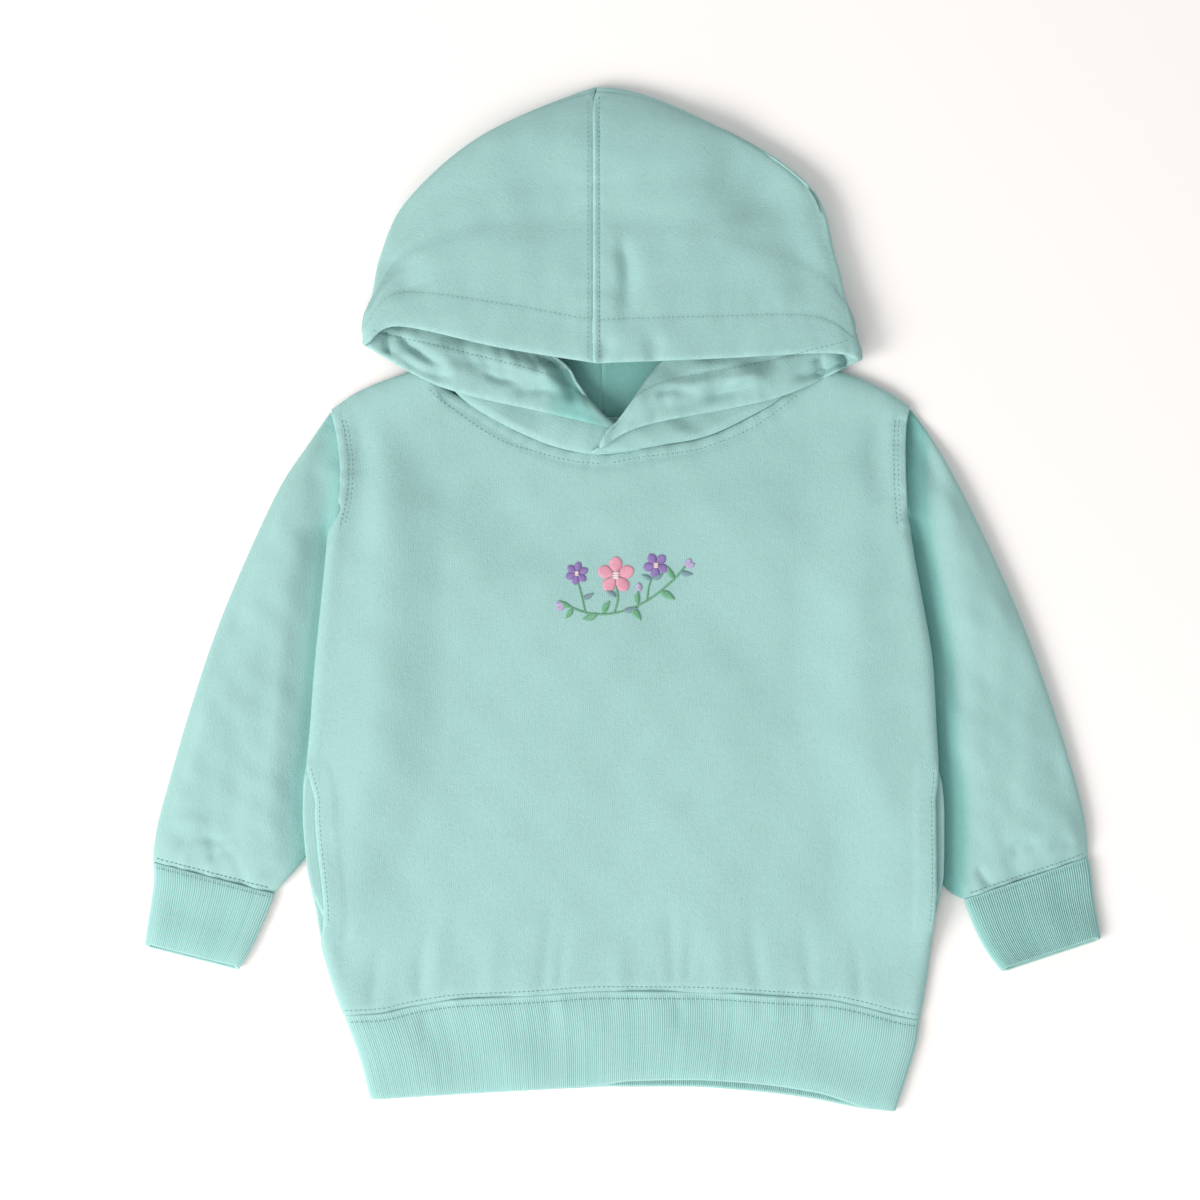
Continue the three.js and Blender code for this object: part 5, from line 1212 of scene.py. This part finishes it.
class Satin:
    """Padded satin-stitch shapes of one colour, joined in one mesh that lies on the front."""

    def __init__(self, name, color):
        self.name, self.material = name, thread(name, color, pitch=0.05, sheen=0.15, rough=0.42, spec=0.5, cross=0.22)
        self.v, self.f, self.uv = [], [], []

    def leaf(self, x, y, angle, length, width, tip=0.5, bend=0.0, height=0.7):
        """A pointed or round petal from (x, y) along the angle in degrees. tip 0 is round, 1 sharp."""
        rows, cols = 15, 9
        a = math.radians(angle)
        base = len(self.v)
        for i in range(rows):
            t = i / (rows - 1)
            half = width / 2 * max(0.0, math.sin(math.pi * min(1.0, t ** (0.75 + 0.5 * (1 - tip))))) ** (0.55 + 0.5 * tip)
            half = max(half, 0.12)
            mid = bend * math.sin(math.pi * t)
            for side in (1, 0):
                for j in range(cols):
                    s = j / (cols - 1) * 2 - 1
                    lx, ly = t * length, mid + s * half
                    wx, wy = x + lx * math.cos(a) - ly * math.sin(a), y + lx * math.sin(a) + ly * math.cos(a)
                    dome = height * math.sqrt(max(0.0, 1 - s * s)) * math.sqrt(max(0.0, 1 - (2 * t - 1) ** 6))
                    ridge = 0.05 * math.sin(t * length / 0.45 * 2 * math.pi) if side else 0.0
                    self.v.append((wx, wy, (0.12 + dome + ridge * dome / height) if side else -0.25))
        stride = cols * 2
        for i in range(rows - 1):
            for j in range(cols - 1):
                a0, b0 = base + i * stride + j, base + (i + 1) * stride + j
                self.f.append((a0, b0, b0 + 1, a0 + 1))
                self._uv(i, j, rows, cols, length, width, 0)
                a1, b1 = a0 + cols, b0 + cols
                self.f.append((a1, a1 + 1, b1 + 1, b1))
                self._uv(i, j, rows, cols, length, width, 1)
            for j, flip in ((0, False), (cols - 1, True)):
                a0, b0 = base + i * stride + j, base + (i + 1) * stride + j
                quad = (a0, a0 + cols, b0 + cols, b0)
                self.f.append(quad[::-1] if flip else quad)
                self.uv += [(0, 0)] * 4
        for i, flip in ((0, True), (rows - 1, False)):
            for j in range(cols - 1):
                a0 = base + i * stride + j
                quad = (a0, a0 + cols, a0 + cols + 1, a0 + 1)
                self.f.append(quad[::-1] if flip else quad)
                self.uv += [(0, 0)] * 4

    def _uv(self, i, j, rows, cols, length, width, low):
        c = [(i, j), (i + 1, j), (i + 1, j + 1), (i, j + 1)]
        if low:
            c = [c[0], c[3], c[2], c[1]]
        self.uv += [(a / (rows - 1) * length * 0.1, b / (cols - 1) * width * 0.1) for a, b in c]

    def make(self):
        v = np.array(self.v)
        for k in range(len(v)):
            hit = surface(["cloth_front"], v[k, 0], v[k, 1])
            v[k, 2] += hit[0] if hit else 7.0
        return mesh_object(self.name, to_scene(v), self.f, np.array(self.uv), self.material)


def spray():
    """A curved stem with leaves, one open flower, two small ones and buds: about 71 by 38 mm."""
    cx, cy = at(625, 588)
    pink, purple, green, smoke, lilac, blush = (
        Satin("embroidery_pink", PINK), Satin("embroidery_purple", PURPLE), Satin("embroidery_green", GREEN),
        Satin("embroidery_smoke", SMOKE), Satin("embroidery_lilac", LILAC), Satin("embroidery_blush", BLUSH))

    def flower(kit, x, y, petals, size, width, turn, tip=0.15):
        for k in range(petals):
            a = turn + 360 * k / petals
            r = math.radians(a)
            kit.leaf(cx + x + math.cos(r) * size * 0.16, cy + y + math.sin(r) * size * 0.16, a, size, width, tip)

    def stem(kit, points, width):
        path = curve(points, 2.2)
        for a, b in zip(path[:-1], path[1:]):
            d = b - a
            kit.leaf(cx + a[0] - d[0] * 0.25, cy + a[1] - d[1] * 0.25, math.degrees(math.atan2(d[1], d[0])),
                     float(np.hypot(*d)) * 1.5, width, 0.3, 0, 0.45)

    stem(green, [(-33, -9), (-20, -14), (-4, -13.5), (12, -7), (26, 4), (33, 12)], 1.3)
    stem(green, [(-6, -13.4), (-4, -6), (-5, 1)], 1.2)
    stem(green, [(12, -7), (13, 1), (16, 8)], 1.1)
    stem(green, [(-22, -13.4), (-24, -4), (-26, 3)], 1.1)
    for x, y, a, l, w in ((-15, -14, 200, 9, 4), (-12, -14, 62, 8, 3.6), (3, -11, -50, 9, 4), (19, -2, -28, 9.5, 4.2),
                          (27, 5, 118, 8, 3.4), (7, -9, 88, 7.5, 3.2), (-30, -10.5, 150, 7.5, 3.4), (-29, -11, 236, 7, 3)):
        green.leaf(cx + x, cy + y, a, l, w, 0.9, 0.5)
    for x, y, a, l, w in ((30, 9, -12, 7.5, 3.2), (-1, -12.5, 12, 8.5, 3.4), (-23.5, -6, 28, 7, 3.0), (14.6, 4, 150, 6.5, 2.8),
                          (-5, -5, 148, 7, 3.0), (15, 5, 26, 6.5, 2.8)):
        smoke.leaf(cx + x, cy + y, a, l, w, 0.9, -0.4)
    flower(pink, -5, 7, 5, 9.0, 7.4, 90)
    flower(purple, -26.5, 8, 6, 5.6, 4.2, 20)
    flower(purple, 17, 12.5, 5, 6.2, 5.2, 48)
    for x, y, a in ((33, 12, 52), (33.4, 11.6, 18), (-33, -9, 176), (-33, -9.6, 206), (8.4, -2, 104)):
        lilac.leaf(cx + x, cy + y, a, 5.2, 3.4, 0.4)
    for x, y, r in ((-5, 7, 2.6), (-26.5, 8, 1.7), (17, 12.5, 1.9)):
        for k in range(3):
            blush.leaf(cx + x - r * 0.75, cy + y + (k - 1) * r * 0.5, 0, r * 1.5, r * 0.75, 0.1, 0, 1.25)
    return [kit.make() for kit in (green, smoke, lilac, pink, purple, blush)]


spray_pieces = spray()

# ------------------------------------------------------------------ what each piece stands for
PIECES = {  # piece: (node, slot, flat width and length in m, what it rests on)
    "cloth_back": ("back_panel", "jersey", (0.353, 0.362), ["floor"]),
    "cloth_front": ("front_panel", "jersey", (0.353, 0.362), ["cloth_back"]),
    "cloth_sleeve_left": ("sleeve_left", "jersey", (0.268, 0.222), ["floor"]),
    "cloth_sleeve_right": ("sleeve_right", "jersey", (0.268, 0.222), ["floor"]),
    "rib_cuff_left": ("cuff_left", "rib", (0.134, 0.048), ["floor"]),
    "rib_cuff_right": ("cuff_right", "rib", (0.134, 0.048), ["floor"]),
    "rib_waistband": ("waistband", "rib", (0.612, 0.052), ["floor"]),
    "cloth_hood_left": ("hood_left", "jersey", (0.330, 0.250), ["cloth_back", "floor"]),
    "cloth_hood_right": ("hood_right", "jersey", (0.330, 0.250), ["cloth_back", "floor"]),
    "cloth_pocket_left": ("pocket_left", "jersey", (0.110, 0.090), ["cloth_back"]),
    "cloth_pocket_right": ("pocket_right", "jersey", (0.110, 0.090), ["cloth_back"]),
}
for name, (cad, slot, flat, rests) in PIECES.items():
    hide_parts(cad)

# ------------------------------------------------------------------ floor, light and camera
floor_me = bpy.data.meshes.new("floor")
floor_me.from_pydata([(-4, -4, 0), (4, -4, 0), (4, 4, 0), (-4, 4, 0)], [], [(0, 1, 2, 3)])
floor_ob = bpy.data.objects.new("floor", floor_me)
bpy.context.scene.collection.objects.link(floor_ob)
fm = bpy.data.materials.new("floor_white")
fm.use_nodes = True
ft = fm.node_tree
fb = ft.nodes["Principled BSDF"]
fb.inputs["Roughness"].default_value = 0.9
fb.inputs["Specular IOR Level"].default_value = 0.1
fc = node(ft, "ShaderNodeTexCoord")
fn = noise(ft, fc.outputs["Object"], 2.0, 2.0)
fcol = ramp(ft, fn, [(0.3, (0.978, 0.952, 0.936)), (0.7, (0.985, 0.96, 0.944))])
ft.links.new(fcol, fb.inputs["Base Color"])
floor_me.materials.append(fm)

world = bpy.data.worlds.new("studio")
bpy.context.scene.world = world
world.use_nodes = True
world.node_tree.nodes["Background"].inputs[0].default_value = (1.0, 0.998, 0.996, 1.0)
world.node_tree.nodes["Background"].inputs[1].default_value = 0.585


def lamp(name, place, aim, size, power, color=(1, 1, 1)):
    data = bpy.data.lights.new(name, "AREA")
    data.shape, data.size, data.energy, data.color = "DISK", size, power, color
    ob = bpy.data.objects.new(name, data)
    bpy.context.scene.collection.objects.link(ob)
    ob.location = place
    ob.rotation_euler = (Vector(aim) - Vector(place)).to_track_quat("-Z", "Y").to_euler()
    return ob


lamp("key", (-2.3, -1.0, 1.85), (0.0, 0.0, 0.0), 1.9, 69, (1.05, 1.0, 0.98))
lamp("fill", (-0.6, -1.5, 1.3), (0.0, -0.2, 0.0), 1.3, 11, (1.03, 1.0, 0.99))

cam_data = bpy.data.cameras.new("camera")
cam_data.sensor_width, cam_data.lens = 36.0, 36.0 * 2.194 / 0.66
cam = bpy.data.objects.new("camera", cam_data)
bpy.context.scene.collection.objects.link(cam)
cx, cy = at(600, 600)
cam.location = ((cx + SHIFT[0]) * MM, (cy + SHIFT[1]) * MM, 2.2)
bpy.context.scene.camera = cam
bpy.context.scene.view_settings.view_transform = "Standard"
bpy.context.scene.view_settings.look = "None"
bpy.context.scene.view_settings.exposure = 0.0
bpy.context.scene.view_settings.gamma = 1.0
